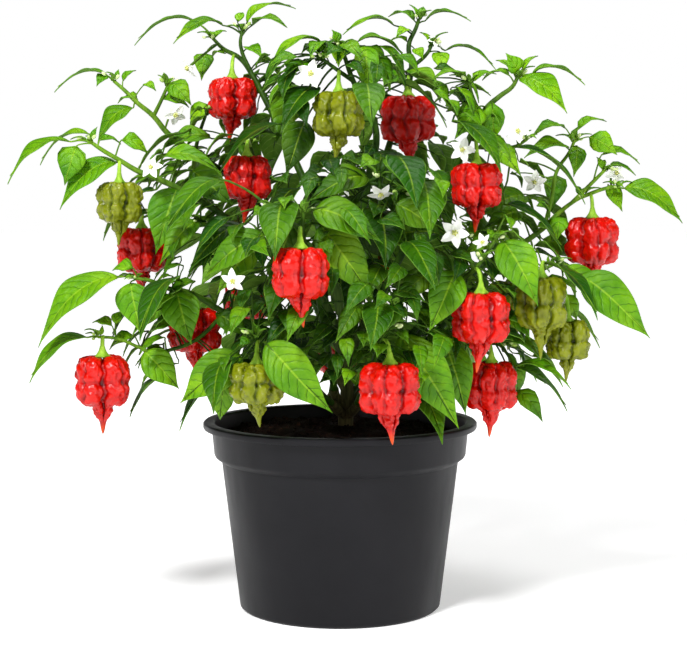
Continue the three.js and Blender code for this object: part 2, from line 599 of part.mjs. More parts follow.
// Bare limbs of the trunk: each ends where its branch begins.
const limbs = branches.map((b) => {
  const end = b.routes[0][0];
  const room = Math.hypot(end.x - TRUNK.x, end.y) * TRUNK.climb;
  const forks = TRUNK.line.slice(1);
  const start = V(...(forks.findLast(([, , z]) => z < end.z - room) ?? forks[0]));
  const early = end.clone().addScaledVector(b.heading, -TRUNK.run);
  return { points: [start, early, end], radius: b.thick[0] + TRUNK.limbExtra };
});

// Everything with a fixed place comes first, so that the leaves can keep clear of it.
const trunkRoute = TRUNK.line.map((spot) => V(...spot));
take(along(trunkRoute), TRUNK.radius + ROOM.wood, 'trunk');
for (const limb of limbs) {
  take(along(limb.points), limb.radius + ROOM.wood, 'trunk');
}
for (const b of branches) {
  b.routes.forEach((route, i) => take(along(route), b.thick[i ? 1 : 0] + ROOM.stem, b.name));
}

const pods = [];
const flowers = [];
const shown = []; // where the fruit and blooms in front are seen, how large, and how far away
for (const b of branches) {
  b.pods.forEach(([across, up, away, width, length, turn, ripe], i) => {
    const top = place([across, up, away], b);
    const root = place(nearestSeen(b.lines, across, up + POD.stalkRise, i), b);
    const name = `pod_${b.name.slice(7)}${b.pods.length > 1 ? `_${i + 1}` : ''}`;
    pods.push({ name, top, width, length, turn, ripe });
    if (b.turn === FRONT) {
      const size = [width * SHOWN.across, length * SHOWN.tall];
      shown.push({ name, branch: b.name, middle: above(top, -length * SHOWN.middle), size });
    }
    for (const [down, share] of POD.room) {
      take([above(top, -down * length)], width * share + ROOM.body, name);
    }
    const stalk = bend(root, above(top, POD.stalkRise), above(top, POD.stalkSink), 3);
    take(along(stalk), POD.stalkRadius + ROOM.stem, b.name);
    b.solids.push(tube(stalk, POD.stalkRadius, POD.stalkRadius + POD.stalkFlare, 3), makeCalyx(top, width));
  });
  b.flowers.forEach(([across, up, away, look, width], i) => {
    const heart = place([across, up, away], b);
    const facing = turned(...look, [b.turn[0], b.turn[1], 1]).normalize();
    const name = `flower_${b.name.slice(7)}${b.flowers.length > 1 ? `_${i + 1}` : ''}`;
    const root = place(nearestSeen(b.lines, across, up, i + 2), b);
    flowers.push({ name, heart, facing, width });
    if (b.turn === FRONT) {
      shown.push({ name, branch: b.name, middle: heart, size: [width * SHOWN.bloom, width * SHOWN.bloom] });
    }
    take([heart], width * FLOWER.room, name);
    const back = heart.clone().addScaledVector(facing, -FLOWER.thickness - FLOWER.droop - GAP);
    const behind = above(back.clone().addScaledVector(facing, -FLOWER.stalkRun), FLOWER.stalkRise);
    const stalk = bend(root, behind, back, 2);
    take(along(stalk), FLOWER.stalkRadius + ROOM.stem, b.name);
    b.solids.push(tube(stalk, FLOWER.stalkRadius, FLOWER.stalkRadius + FLOWER.stalkFlare, 3));
  });
}

// The small green cap that grips the pod, on the end of its stalk.
function makeCalyx(top, width) {
  const profile = POD.cap.map(([share, height]) => [width / 2 * POD.calyx * share, height]);
  return solidOf(turnedProfile(profile, POD.capSides).translate(top.x, top.y, top.z));
}

// ---------------------------------------------------------------- leaves

// Half of a blade's width, as a share of its greatest, at a share of its length: widest near the base, then long and
// pointed.
function outline(share) {
  const power = Math.log(0.5) / Math.log(LEAF.widestAt);
  return Math.sin(Math.PI * share ** power) * (1 - LEAF.taper * share ** 3);
}

// The point of a blade's upper face at a share of its length, and from -1 at its left edge to 1 at its right.
function bladePoint(leaf, share, across) {
  const half = leaf.width / 2 * outline(share);
  const arched = leaf.arch * leaf.length * Math.sin(Math.PI * share ** LEAF.archPeak);
  const rise = arched + LEAF.fold * half * Math.abs(across);
  return leaf.base.clone().addScaledVector(leaf.way, leaf.length * share)
    .addScaledVector(leaf.side, half * across).addScaledVector(leaf.normal, rise);
}

function bladeSamples(leaf, from = 0) {
  const found = [];
  const rows = Math.ceil(leaf.length / SPACING);
  for (let i = 0; i <= rows; i += 1) {
    const share = i / rows;
    if (share >= from) {
      const columns = Math.ceil(leaf.width * outline(share) / SPACING) + 1;
      for (let k = 0; k < columns; k += 1) {
        found.push(bladePoint(leaf, share, columns > 1 ? 2 * k / (columns - 1) - 1 : 0));
      }
    }
  }
  return found;
}

// A leaf whose blade runs from base to tip with its upper face towards facing, on a stalk from root.
function laidLeaf(root, base, tip, width, facing, arch) {
  const way = tip.clone().sub(base);
  const length = way.length();
  way.normalize();
  const normal = facing.clone().addScaledVector(way, -facing.dot(way)).normalize();
  const side = new THREE.Vector3().crossVectors(normal, way);
  const start = base.clone().sub(root).normalize();
  const leaf = { base, start, way, length, normal, side, width, arch };
  leaf.stalk = bend(root, above(root.clone().lerp(base, 0.5), LEAF.stalkRise * root.distanceTo(base)), base, 3);
  return leaf;
}

function fits(leaf, b) {
  return isClear(bladeSamples(leaf), CLEAR, b.name)
    && isClear(along(leaf.stalk, LEAF.stalkFree).slice(LEAF.stalkFree), LEAF.stalkRoom, b.name)
    && isClear(bladeSamples(leaf, LEAF.ownFrom), LEAF.ownRoom, b.name, false);
}

// Whether a leaf hangs before any of the things given, as seen from the viewpoint.
function hides(leaf, things) {
  return bladeSamples(leaf).some((point) => things.some(({ middle, size }) => {
    const scale = (middle.y - EYE.y) / (point.y - EYE.y);
    const aside = (EYE.x + (point.x - EYE.x) * scale - middle.x) / size[0];
    const high = (EYE.z + (point.z - EYE.z) * scale - middle.z) / size[1];
    return point.y < middle.y && Math.hypot(aside, high) < 1;
  }));
}

function keep(leaf, b) {
  if (leaf.length >= LEAF.smallest) {
    b.solids.push(makeLeaf(leaf));
  }
  take(bladeSamples(leaf), CLEAR, b.name);
  take(along(leaf.stalk), ROOM.stem, b.name);
}

for (const b of branches) {
  b.leaves.forEach(([baseAcross, baseUp, tipAcross, tipUp, width, tipAway, face], i) => {
    const seen = nearestSeen(b.lines, baseAcross, baseUp, i, [tipAcross - baseAcross, tipUp - baseUp]);
    const away = seen[2];
    const root = place(seen, b);
    const facing = above(turned(0, -face, 0, [b.turn[0], b.turn[1], 1]), 1 - face);
    const arch = LEAF.archUp + (LEAF.archFacing - LEAF.archUp) * face;
    const own = shown.filter(({ name, branch }) => branch === b.name && !HALF_HIDDEN.includes(name));
    const choices = SHIFTS.map((shift) => laidLeaf(
      root,
      place([baseAcross, baseUp, away + shift], b),
      place([tipAcross, tipUp, away + shift + tipAway], b),
      width,
      facing,
      arch,
    )).filter((one) => fits(one, b));
    const leaf = choices.find((one) => !hides(one, own)) ?? choices[0];
    if (leaf) {
      keep(leaf, b);
    }
  });
}

// Inside the crown: spots round a dome, a fixed turn apart.
let drawn = INNER.seed;
function draw() {
  drawn = drawn * DRAW.factor % DRAW.span;
  return drawn / DRAW.span;
}
for (const [out, count] of INNER.shells) {
  for (let k = 0; k < count; k += 1) {
    const turn = k * GOLDEN_TURN + out;
    const up = INNER.low + (INNER.high - INNER.low) * (k + 0.5) / count;
    const bulge = Math.sqrt(1 - ((up - INNER.middle) / INNER.dome[2]) ** 2);
    const length = INNER.shortest + (INNER.longest - INNER.shortest) * draw();
    const sway = INNER.sway * (draw() - 0.5);
    const spots = INNER.insets.flatMap((inset) => INNER.lifts.flatMap((lift) => INNER.swings.map((swing) => {
      const outward = V(Math.cos(turn + swing), Math.sin(turn + swing), 0);
      const reach = bulge * (out + inset);
      const base = V(outward.x * INNER.dome[0] * reach, outward.y * INNER.dome[1] * reach, up + lift);
      return { outward, base };
    })));
    for (const { outward, base } of spots) {
      const [b, root] = nearestStem(base);
      const aim = outward.clone().applyAxisAngle(V(0, 0, 1), sway);
      const tip = above(base.clone().addScaledVector(aim, length * INNER.reach), -length * INNER.droop);
      const leaf = laidLeaf(root, base, tip, length * INNER.widthShare, above(outward, INNER.upward), INNER.arch);
      leaf.inner = true;
      const turnsBack = leaf.start.dot(leaf.way) < INNER.sharpest;
      const short = root.distanceTo(base) < INNER.longestStalk;
      if (short && !turnsBack && !hides(leaf, shown) && fits(leaf, b)) {
        keep(leaf, b);
        break;
      }
    }
  }
}

// The branch whose stem or twig is nearest to a point, and the nearest place on it.
function nearestStem(point) {
  let best = null;
  let bestGap = Infinity;
  for (const b of branches) {
    for (const route of b.routes) {
      for (let i = 1; i < route.length; i += 1) {
        const run = new THREE.Line3(route[i - 1], route[i]);
        const spot = run.at(Math.max(run.closestPointToPointParameter(point, true), ROOT.least), V(0, 0, 0));
        if (spot.distanceTo(point) < bestGap) {
          bestGap = spot.distanceTo(point);
          best = [b, spot];
        }
      }
    }
  }
  return best;
}

// The three corners of a stalk's end.
function stalkEnd(point, out, up, radius) {
  return [[-1, 0.5], [1, 0.5], [0, -1]].map(([aside, high]) => (
    point.clone().addScaledVector(out, aside * radius).addScaledVector(up, high * radius)
  ));
}

// A three-sided stalk that widens into a blade of one thickness, with both faces split alike. Its edges wave a
// little, and a leaf inside the crown has fewer corners.
function makeLeaf(leaf) {
  const down = leaf.normal.clone().multiplyScalar(-LEAF.thickness);
  // The stalk is cut squarely at its root, and mitred where it meets the blade.
  const mitre = leaf.start.clone().add(leaf.way).normalize();
  const out = leaf.side.clone().addScaledVector(mitre, -leaf.side.dot(mitre)).normalize();
  const up = new THREE.Vector3().crossVectors(mitre, out);
  const unbent = new THREE.Quaternion().setFromUnitVectors(mitre, leaf.start);
  const [rootOut, rootUp] = [out, up].map((line) => line.clone().applyQuaternion(unbent));
  const corners = [
    ...stalkEnd(leaf.stalk[0], rootOut, rootUp, LEAF.rootRadius),
    ...stalkEnd(leaf.base, out, up, LEAF.stalkRadius),
  ];
  const longRows = leaf.length < LEAF.longLength ? LEAF.midRows : LEAF.rows;
  const shares = leaf.inner || leaf.length < LEAF.midLength ? LEAF.shortRows : longRows;
  shares.forEach((share, i) => {
    const wave = LEAF.wave * leaf.width / 2 * (i % 2 ? -1 : 1);
    const upper = [-1, 0, 1].map((across) => (
      bladePoint(leaf, share, across).addScaledVector(leaf.normal, -across * wave)
    ));
    corners.push(...upper, ...upper.map((corner) => corner.clone().add(down)));
  });
  const point = bladePoint(leaf, 1, 0);
  corners.push(point, point.clone().add(down));

  const triangles = [[0, 1, 2]];
  for (let k = 0; k < 3; k += 1) {
    const next = (k + 1) % 3;
    triangles.push([k, k + 3, next], [next, k + 3, next + 3]);
  }
  // Corners of a row: its left, middle and right above, then the same below.
  const row = (i) => [0, 1, 2, 3, 4, 5].map((k) => 6 + 6 * i + k);
  const [left, middle, right, leftBelow, middleBelow, rightBelow] = row(0);
  triangles.push(
    [3, middle, 4], [3, left, middle], [4, middle, right], [4, right, rightBelow], [4, rightBelow, 5],
    [5, rightBelow, middleBelow], [5, middleBelow, leftBelow], [5, leftBelow, 3], [3, leftBelow, left],
  );
  for (let i = 1; i < shares.length; i += 1) {
    const a = row(i - 1);
    const b = row(i);
    for (const k of [0, 1]) {
      triangles.push([a[k], b[k], a[k + 1]], [a[k + 1], b[k], b[k + 1]]);
      triangles.push([a[k + 3], a[k + 4], b[k + 3]], [a[k + 4], b[k + 4], b[k + 3]]);
    }
    triangles.push([a[2], b[2], a[5]], [a[5], b[2], b[5]], [a[0], a[3], b[0]], [a[3], b[3], b[0]]);
  }
  const end = row(shares.length - 1);
  const tip = corners.length - 2;
  triangles.push(
    [end[0], tip, end[1]], [end[1], tip, end[2]], [end[3], end[4], tip + 1], [end[4], end[5], tip + 1],
    [end[2], tip, end[5]], [end[5], tip, tip + 1], [end[0], end[3], tip], [end[3], tip + 1, tip],
  );
  return solidOf(geometryFrom(corners, triangles));
}

// ---------------------------------------------------------------- trunk, stems, pods and flowers

function makeTrunk() {
  const main = tube(trunkRoute, TRUNK.radius, TRUNK.topRadius, 6);
  return joined([main, ...limbs.map(({ points, radius }) => tube(points, radius + TRUNK.limbFlare, radius, 4))]);
}

function makeBranch(b) {
  const [first, ...rest] = b.routes[0];
  const stem = tube([first.clone().addScaledVector(b.heading, GAP), ...rest], b.thick[0], b.thick[1], 4);
  const tip = b.thick[1];
  const twigs = b.routes.slice(1).map((route) => tube(route, tip + TWIG.flare, tip - TWIG.taper, 4));
  return joined([stem, ...twigs, ...b.solids]);
}

// A squat hanging fruit with deep grooves between its lobes, a narrower foot and a thin pointed tail.
function makePod({ top, width, length, turn }) {
  const rows = POD.rings.length + 1;
  const ball = new THREE.SphereGeometry(1, POD_SIDES, rows).rotateX(Math.PI / 2);
  const corners = ball.attributes.position;
  for (let i = 0; i < corners.count; i += 1) {
    const spot = V().fromBufferAttribute(corners, i);
    const ring = Math.round(Math.acos(THREE.MathUtils.clamp(spot.z, -1, 1)) / Math.PI * rows) - 1;
    const angle = Math.atan2(spot.y, spot.x);
    const [share, height, depth] = POD.rings[ring] ?? [0, ring < 0 ? POD.hollow : -1, 0];
    const lobe = 1 - POD.groove * depth * (0.5 + 0.5 * Math.cos(POD.lobes * angle));
    const bump = 1 + POD.bump * depth * Math.sin(angle * POD.bumps + ring * POD.bumpShift + turn * POD.bumpTurn);
    const r = width / 2 * share * lobe * bump;
    const lean = POD.lean * Math.max(0, -height - POD.leanFrom) / (1 - POD.leanFrom);
    corners.setXYZ(
      i,
      top.x + r * Math.cos(angle + turn) + lean * Math.cos(turn * POD.leanTurn),
      top.y + r * Math.sin(angle + turn) + lean * Math.sin(turn * POD.leanTurn),
      top.z + length * height,
    );
  }
  return solidOf(ball);
}

// A white star of petals joined at their feet, their tips turned back.
function makeFlower({ heart, facing, width }) {
  const star = new THREE.Shape();
  const outlinePoint = (share, turn) => [width / 2 * share * Math.cos(turn), width / 2 * share * Math.sin(turn)];
  for (let i = 0; i < FLOWER.petals; i += 1) {
    const turn = 2 * Math.PI * i / FLOWER.petals;
    const notch = outlinePoint(FLOWER.notch, turn - Math.PI / FLOWER.petals);
    if (i) {
      star.lineTo(...notch);
    } else {
      star.moveTo(...notch);
    }
    star.lineTo(...outlinePoint(FLOWER.shoulder, turn - FLOWER.shoulderTurn));
    star.lineTo(...outlinePoint(1, turn));
    star.lineTo(...outlinePoint(FLOWER.shoulder, turn + FLOWER.shoulderTurn));
  }
  const petals = new THREE.ExtrudeGeometry(star, { depth: FLOWER.thickness, bevelEnabled: false });
  const corners = petals.attributes.position;
  for (let i = 0; i < corners.count; i += 1) {
    const share = Math.hypot(corners.getX(i), corners.getY(i)) / (width / 2);
    corners.setZ(i, corners.getZ(i) - FLOWER.thickness - FLOWER.droop * share * share);
  }
  const pose = new THREE.Quaternion().setFromUnitVectors(V(0, 0, 1), facing);
  const matrix = new THREE.Matrix4().compose(heart, pose, V(1, 1, 1));
  return solidOf(petals.applyMatrix4(matrix));
}

// ---------------------------------------------------------------- the whole plant

function material(color, roughness) {
  return new THREE.MeshStandardMaterial({ color, roughness, metalness: 0 });
}

const materials = {
  pot: material(COLOUR.pot, 0.5),
  soil: material(COLOUR.soil, 0.95),
  bark: material(COLOUR.bark, 0.7),
  leaf: material(COLOUR.leaf, 0.45),
  ripe: material(COLOUR.ripe, 0.25),
  unripe: material(COLOUR.unripe, 0.3),
  petal: material(COLOUR.petal, 0.6),
};

const group = new THREE.Group();

function add(name, solid, look) {
  const mesh = new THREE.Mesh(geometryOf(solid), look);
  mesh.name = name;
  group.add(mesh);
}

add('pot', makePot(), materials.pot);
add('soil', makeSoil(), materials.soil);
add('trunk', makeTrunk(), materials.bark);
for (const b of branches) {
  add(b.name, makeBranch(b), materials.leaf);
}
for (const pod of pods) {
  add(pod.name, makePod(pod), pod.ripe ? materials.ripe : materials.unripe);
}
for (const flower of flowers) {
  add(flower.name, makeFlower(flower), materials.petal);
}

export default group;
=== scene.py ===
# A potted chilli pepper plant: bushy, with ripe red and unripe green pods, in a plain black plastic pot.
# Metres, +Z up. The origin is on the surface that the pot stands on, under the pot's axis.

import itertools
import math
import random

import bpy
import numpy as np
from mathutils import Matrix, Quaternion, Vector, bvhtree, kdtree, noise


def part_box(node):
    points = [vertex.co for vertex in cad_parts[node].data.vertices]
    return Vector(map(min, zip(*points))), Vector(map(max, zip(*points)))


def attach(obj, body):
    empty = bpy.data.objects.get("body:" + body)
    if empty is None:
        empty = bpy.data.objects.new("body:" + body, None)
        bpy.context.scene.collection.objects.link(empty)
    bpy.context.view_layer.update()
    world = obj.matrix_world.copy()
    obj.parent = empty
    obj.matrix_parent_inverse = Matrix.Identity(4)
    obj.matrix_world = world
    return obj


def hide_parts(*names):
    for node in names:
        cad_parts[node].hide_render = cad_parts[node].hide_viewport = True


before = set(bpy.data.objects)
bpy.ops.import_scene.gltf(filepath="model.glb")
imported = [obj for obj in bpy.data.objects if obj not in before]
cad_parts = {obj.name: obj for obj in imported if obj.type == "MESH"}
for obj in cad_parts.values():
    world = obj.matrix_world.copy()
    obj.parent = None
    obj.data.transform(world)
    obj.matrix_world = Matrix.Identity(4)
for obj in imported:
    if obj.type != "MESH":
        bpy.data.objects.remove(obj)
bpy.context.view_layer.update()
MM = 0.001

# ---------------------------------------------------------------------------------------------------- the pot
# A nursery pot, injection-moulded in one piece from black polypropylene: a thin tapered wall, a wider band at its
# top under a rolled lip to lift it by, and drain holes in its floor. It stands free and holds everything else.

pot_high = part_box("pot")[1]
POT_HEIGHT = pot_high[2]
LIP_RADIUS = pot_high[0]
BAND_RADIUS = LIP_RADIUS - 6 * MM
BODY_RADIUS = LIP_RADIUS - 12.8 * MM
FOOT_RADIUS = LIP_RADIUS - 25 * MM
POT_WALL = 1.8 * MM
BAND_STEP = POT_HEIGHT - 27.4 * MM
BAND_FOOT = BAND_STEP + 4.8 * MM
POT_SIDES = 128
DRAIN_HOLES, DRAIN_RADIUS, DRAIN_RING = 6, 4.5 * MM, 46 * MM


def deselect_all():
    bpy.ops.object.select_all(action="DESELECT")


def pick(piece):
    """Selects one object alone and makes it active."""
    deselect_all()
    piece.select_set(True)
    bpy.context.view_layer.objects.active = piece


def named(name):
    """The piece just made, under its name."""
    piece = bpy.context.object
    piece.name = piece.data.name = name
    return piece


def finish_with(piece, kind, **settings):
    """Adds a modifier to a piece and applies it."""
    pick(piece)
    bpy.ops.object.modifier_add(type=kind)
    modifier = piece.modifiers[-1]
    for name, value in settings.items():
        setattr(modifier, name, value)
    bpy.ops.object.modifier_apply(modifier=modifier.name)


def settle(piece):
    """Puts a piece's place, turn and size into its mesh."""
    pick(piece)
    bpy.ops.object.transform_apply(location=True, rotation=True, scale=True)


def turned_shell(name, rings, sides):
    """A round shell: the first ring is filled in, and each next one is extruded out of the one before."""
    radius, height = rings[0]
    deselect_all()
    bpy.ops.mesh.primitive_circle_add(vertices=sides, radius=radius, fill_type="NGON", location=(0, 0, height))
    piece = named(name)
    bpy.ops.object.mode_set(mode="EDIT")
    bpy.ops.mesh.select_all(action="SELECT")
    for next_radius, next_height in rings[1:]:
        bpy.ops.mesh.extrude_region_move(TRANSFORM_OT_translate={"value": (0, 0, next_height - height)})
        share = next_radius / radius
        bpy.ops.transform.resize(value=(share, share, 1), center_override=(0, 0, next_height))
        radius, height = next_radius, next_height
    bpy.ops.mesh.select_all(action="SELECT")
    bpy.ops.mesh.normals_make_consistent(inside=False)
    bpy.ops.object.mode_set(mode="OBJECT")
    settle(piece)
    return piece


def belongs(piece, material, slot, *nodes):
    """The piece takes its material, stands with the plant, and is shown for the frame's nodes."""
    if material:
        piece.data.materials.append(material)
    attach(piece, "root")
    if nodes:
        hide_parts(*nodes)


def colour(red, green, blue):
    """A colour as a screen shows it, 0 to 255, turned into the light that it stands for."""
    return tuple(((c / 255 + 0.055) / 1.055) ** 2.4 if c > 10 else c / 255 / 12.92 for c in (red, green, blue)) + (1,)


def node(material, kind, inputs=None, **settings):
    """A node of a material. Each input is a plain value, or another node's output."""
    made = material.node_tree.nodes.new("ShaderNode" + kind)
    for name, value in settings.items():
        setattr(made, name, value)
    for name, value in (inputs or {}).items():
        if isinstance(value, bpy.types.NodeSocket):
            material.node_tree.links.new(value, made.inputs[name])
        else:
            made.inputs[name].default_value = value
    return made


def shades(material, factor, stops):
    """A colour that runs through the stops, each (position, colour), as the factor goes from 0 to 1."""
    ramp = node(material, "ValToRGB", {"Fac": factor})
    elements = ramp.color_ramp.elements
    while len(elements) < len(stops):
        elements.new(0.5)
    for element, (position, tint) in zip(elements, stops):
        element.position = position
        element.color = tint
    return ramp.outputs["Color"]


def spots_of(material, stretch=(1, 1, 1)):
    """The piece's own coordinates, stretched."""
    spots = node(material, "TexCoord").outputs["Object"]
    return node(material, "Mapping", {"Vector": spots, "Scale": stretch}).outputs["Vector"]


def cloudy(scale, detail=2.0, roughness=0.5, stretch=(1, 1, 1)):
    """A pattern of soft spots, scale of them to a metre, from about 0.3 to 0.7."""
    return lambda material: node(material, "TexNoise", {
        "Vector": spots_of(material, stretch), "Scale": scale, "Detail": detail, "Roughness": roughness,
    }).outputs["Fac"]


def mottled(stops, *spots, **stretch):
    """A pattern of soft spots whose tint or roughness runs through the stops."""
    return lambda material: shades(material, cloudy(*spots, **stretch)(material), stops)


def grey(level):
    """A plain value, as a colour."""
    return (level, level, level, 1)


def finish_of(name, tint, roughness, height=None, relief=0.0, shine=0.5):
    """A material from patterns for its tint, its roughness and its height, which is raised by relief metres."""
    material = bpy.data.materials.new(name)
    material.use_nodes = True
    shader = material.node_tree.nodes["Principled BSDF"]
    inputs = {"Base Color": tint(material), "Roughness": roughness(material)}
    for name, value in inputs.items():
        material.node_tree.links.new(value, shader.inputs[name])
    if height:
        bump = node(material, "Bump", {"Height": height(material), "Distance": relief, "Strength": 1.0})
        material.node_tree.links.new(bump.outputs["Normal"], shader.inputs["Normal"])
    shader.inputs["Specular IOR Level"].default_value = shine
    return material


def towards(turn, rise=0):
    """One step out from the axis, and up by rise."""
    return np.array((math.cos(turn), math.sin(turn), rise))


def make_pot():
    pot = turned_shell("pot_wall", [
        (FOOT_RADIUS - 1.5 * MM, 0), (FOOT_RADIUS, 1.5 * MM), (BODY_RADIUS, BAND_STEP),
        (BAND_RADIUS - 2.4 * MM, BAND_STEP + 3.2 * MM), (BAND_RADIUS - 1.6 * MM, BAND_FOOT),
        (BAND_RADIUS, POT_HEIGHT - 5.6 * MM), (LIP_RADIUS - 0.5 * MM, POT_HEIGHT - 4.6 * MM),
        (LIP_RADIUS, POT_HEIGHT - 3.6 * MM), (LIP_RADIUS, POT_HEIGHT - 1 * MM), (LIP_RADIUS - 1 * MM, POT_HEIGHT),
        (BAND_RADIUS - POT_WALL + 1 * MM, POT_HEIGHT), (BAND_RADIUS - POT_WALL, POT_HEIGHT - 1 * MM),
        (BAND_RADIUS - 1.6 * MM - POT_WALL, BAND_FOOT), (BODY_RADIUS - POT_WALL, BAND_STEP + 1 * MM),
        (FOOT_RADIUS - POT_WALL, POT_WALL + 0.4 * MM),
    ], POT_SIDES)
    for hole in range(DRAIN_HOLES):
        place = towards(2 * math.pi * (hole + 0.5) / DRAIN_HOLES) * DRAIN_RING
        bpy.ops.mesh.primitive_cylinder_add(vertices=24, radius=DRAIN_RADIUS, depth=20 * MM, location=place)
        drill = bpy.context.object
        finish_with(pot, "BOOLEAN", operation="DIFFERENCE", object=drill)
        bpy.data.objects.remove(drill)
    finish_with(pot, "BEVEL", width=0.4 * MM, segments=2, limit_method="ANGLE", angle_limit=math.radians(28))
    bpy.ops.object.shade_smooth_by_angle(angle=math.radians(40))
    return pot


pot = make_pot()
pot.data.materials.clear()
black_plastic = finish_of(
    "black_plastic", mottled([(0.3, colour(17, 17, 20)), (0.7, colour(24, 24, 27))], 18, 4),
    mottled([(0.3, grey(0.36)), (0.7, grey(0.5))], 60, 5, stretch=(1, 1, 0.25)), cloudy(1400), 0.04 * MM,
    shine=0.14)
belongs(pot, black_plastic, "pot_plastic", "pot")

# --------------------------------------------------------------------------------------------------- the soil
# Damp potting soil of dark peat and bark, filled in by hand to a centimetre below the lip and pressed round the
# trunk: a low mound of loose crumbs, a few of them coarse.

SOIL_EDGE = BAND_RADIUS - 1.6 * MM - POT_WALL - 0.4 * MM
SOIL_TOP = POT_HEIGHT - 9 * MM
SOIL_CROWN = 4.5 * MM
SOIL_RINGS = 26
CRUMBS, CRUMB_SIZES = 620, (1, 1, 1.3, 1.7, 2.4)
HOLLOWS, CLOD_HEIGHT, CLOD_WIDTH = 1.6 * MM, 1.1 * MM, 7 * MM
dice = random.Random(11)


def soil_height(x, y):
    """The mound, with the hollows that pressing left in it, and finer clods."""
    share = math.hypot(x, y) / SOIL_EDGE
    mound = SOIL_CROWN * (1 - share * share) - 1.5 * MM * share ** 8
    hollows = HOLLOWS * math.sin(x / MM * 0.13 + 1) * math.cos(y / MM * 0.11) - x * 0.012
    clods = noise.fractal(Vector((x, y, 0)) / CLOD_WIDTH, 0.8, 2.2, 4)
    return SOIL_TOP + mound + hollows * (1 - share ** 8) + CLOD_HEIGHT * clods


def make_soil():
    sides = [(FOOT_RADIUS - 2.3 * MM, 2.6 * MM), (BODY_RADIUS - 3.4 * MM, BAND_STEP), (SOIL_EDGE, SOIL_TOP - 3 * MM)]
    top = [(SOIL_EDGE * (1 - i / SOIL_RINGS), SOIL_TOP) for i in range(SOIL_RINGS)]
    soil = turned_shell("soil_body", sides + top, 96)
    for vertex in soil.data.vertices:
        if vertex.co.z > SOIL_TOP - 1 * MM:
            vertex.co.z = soil_height(vertex.co.x, vertex.co.y)
    bpy.ops.object.shade_smooth_by_angle(angle=math.radians(60))
    return soil


def grain(size, place, rotation, scale, fineness=2):
    """A small rounded lump."""
    deselect_all()
    bpy.ops.mesh.primitive_ico_sphere_add(
        subdivisions=fineness, radius=size, location=place, rotation=rotation, scale=scale)
    return bpy.context.object


def join_as(name, pieces):
    """Makes one mesh of several."""
    deselect_all()
    for piece in pieces:
        piece.select_set(True)
    bpy.context.view_layer.objects.active = pieces[0]
    bpy.ops.object.join()
    return named(name)


def make_crumbs():
    crumbs = []
    for _ in range(CRUMBS):
        turn, reach = dice.uniform(0, 2 * math.pi), SOIL_EDGE * 0.97 * math.sqrt(dice.random())
        x, y = reach * math.cos(turn), reach * math.sin(turn)
        size = dice.choice(CRUMB_SIZES) * dice.uniform(0.7, 1.1) * MM
        rotation = [dice.uniform(0, math.pi) for _ in range(3)]
        scale = [dice.uniform(0.6, 1.5), dice.uniform(0.6, 1), dice.uniform(0.5, 0.9)]
        crumbs.append(grain(size, (x, y, soil_height(x, y)), rotation, scale, 1))
    piece = join_as("soil_crumbs", crumbs)
    settle(piece)
    return piece


potting_soil = finish_of(
    "potting_soil",
    mottled([(0.3, colour(10, 7, 6)), (0.55, colour(26, 17, 13)), (0.75, colour(70, 44, 32))], 260, 5, 0.7),
    mottled([(0.3, grey(0.75)), (0.7, grey(0.98))], 40, 3), cloudy(700, 6, 0.75), 1.2 * MM, shine=0.05)
belongs(make_soil(), potting_soil, "soil", "soil")
belongs(make_crumbs(), potting_soil, "soil")

# -------------------------------------------------------------------------------------- the trunk and its limbs
# The plant's scaffold, grown from one stem: a short woody trunk that stands in the soil and forks into limbs, each
# of which ends where a leafy branch begins. Green-brown bark with fine ridges along it.

# The plant was measured from one viewpoint, in mm. A place (across, up, away) is the point `away` behind the pot's
# axis that is seen from there at (across, up) on the upright plane through the axis.
EYE = np.array((2.4, -1120, 280))

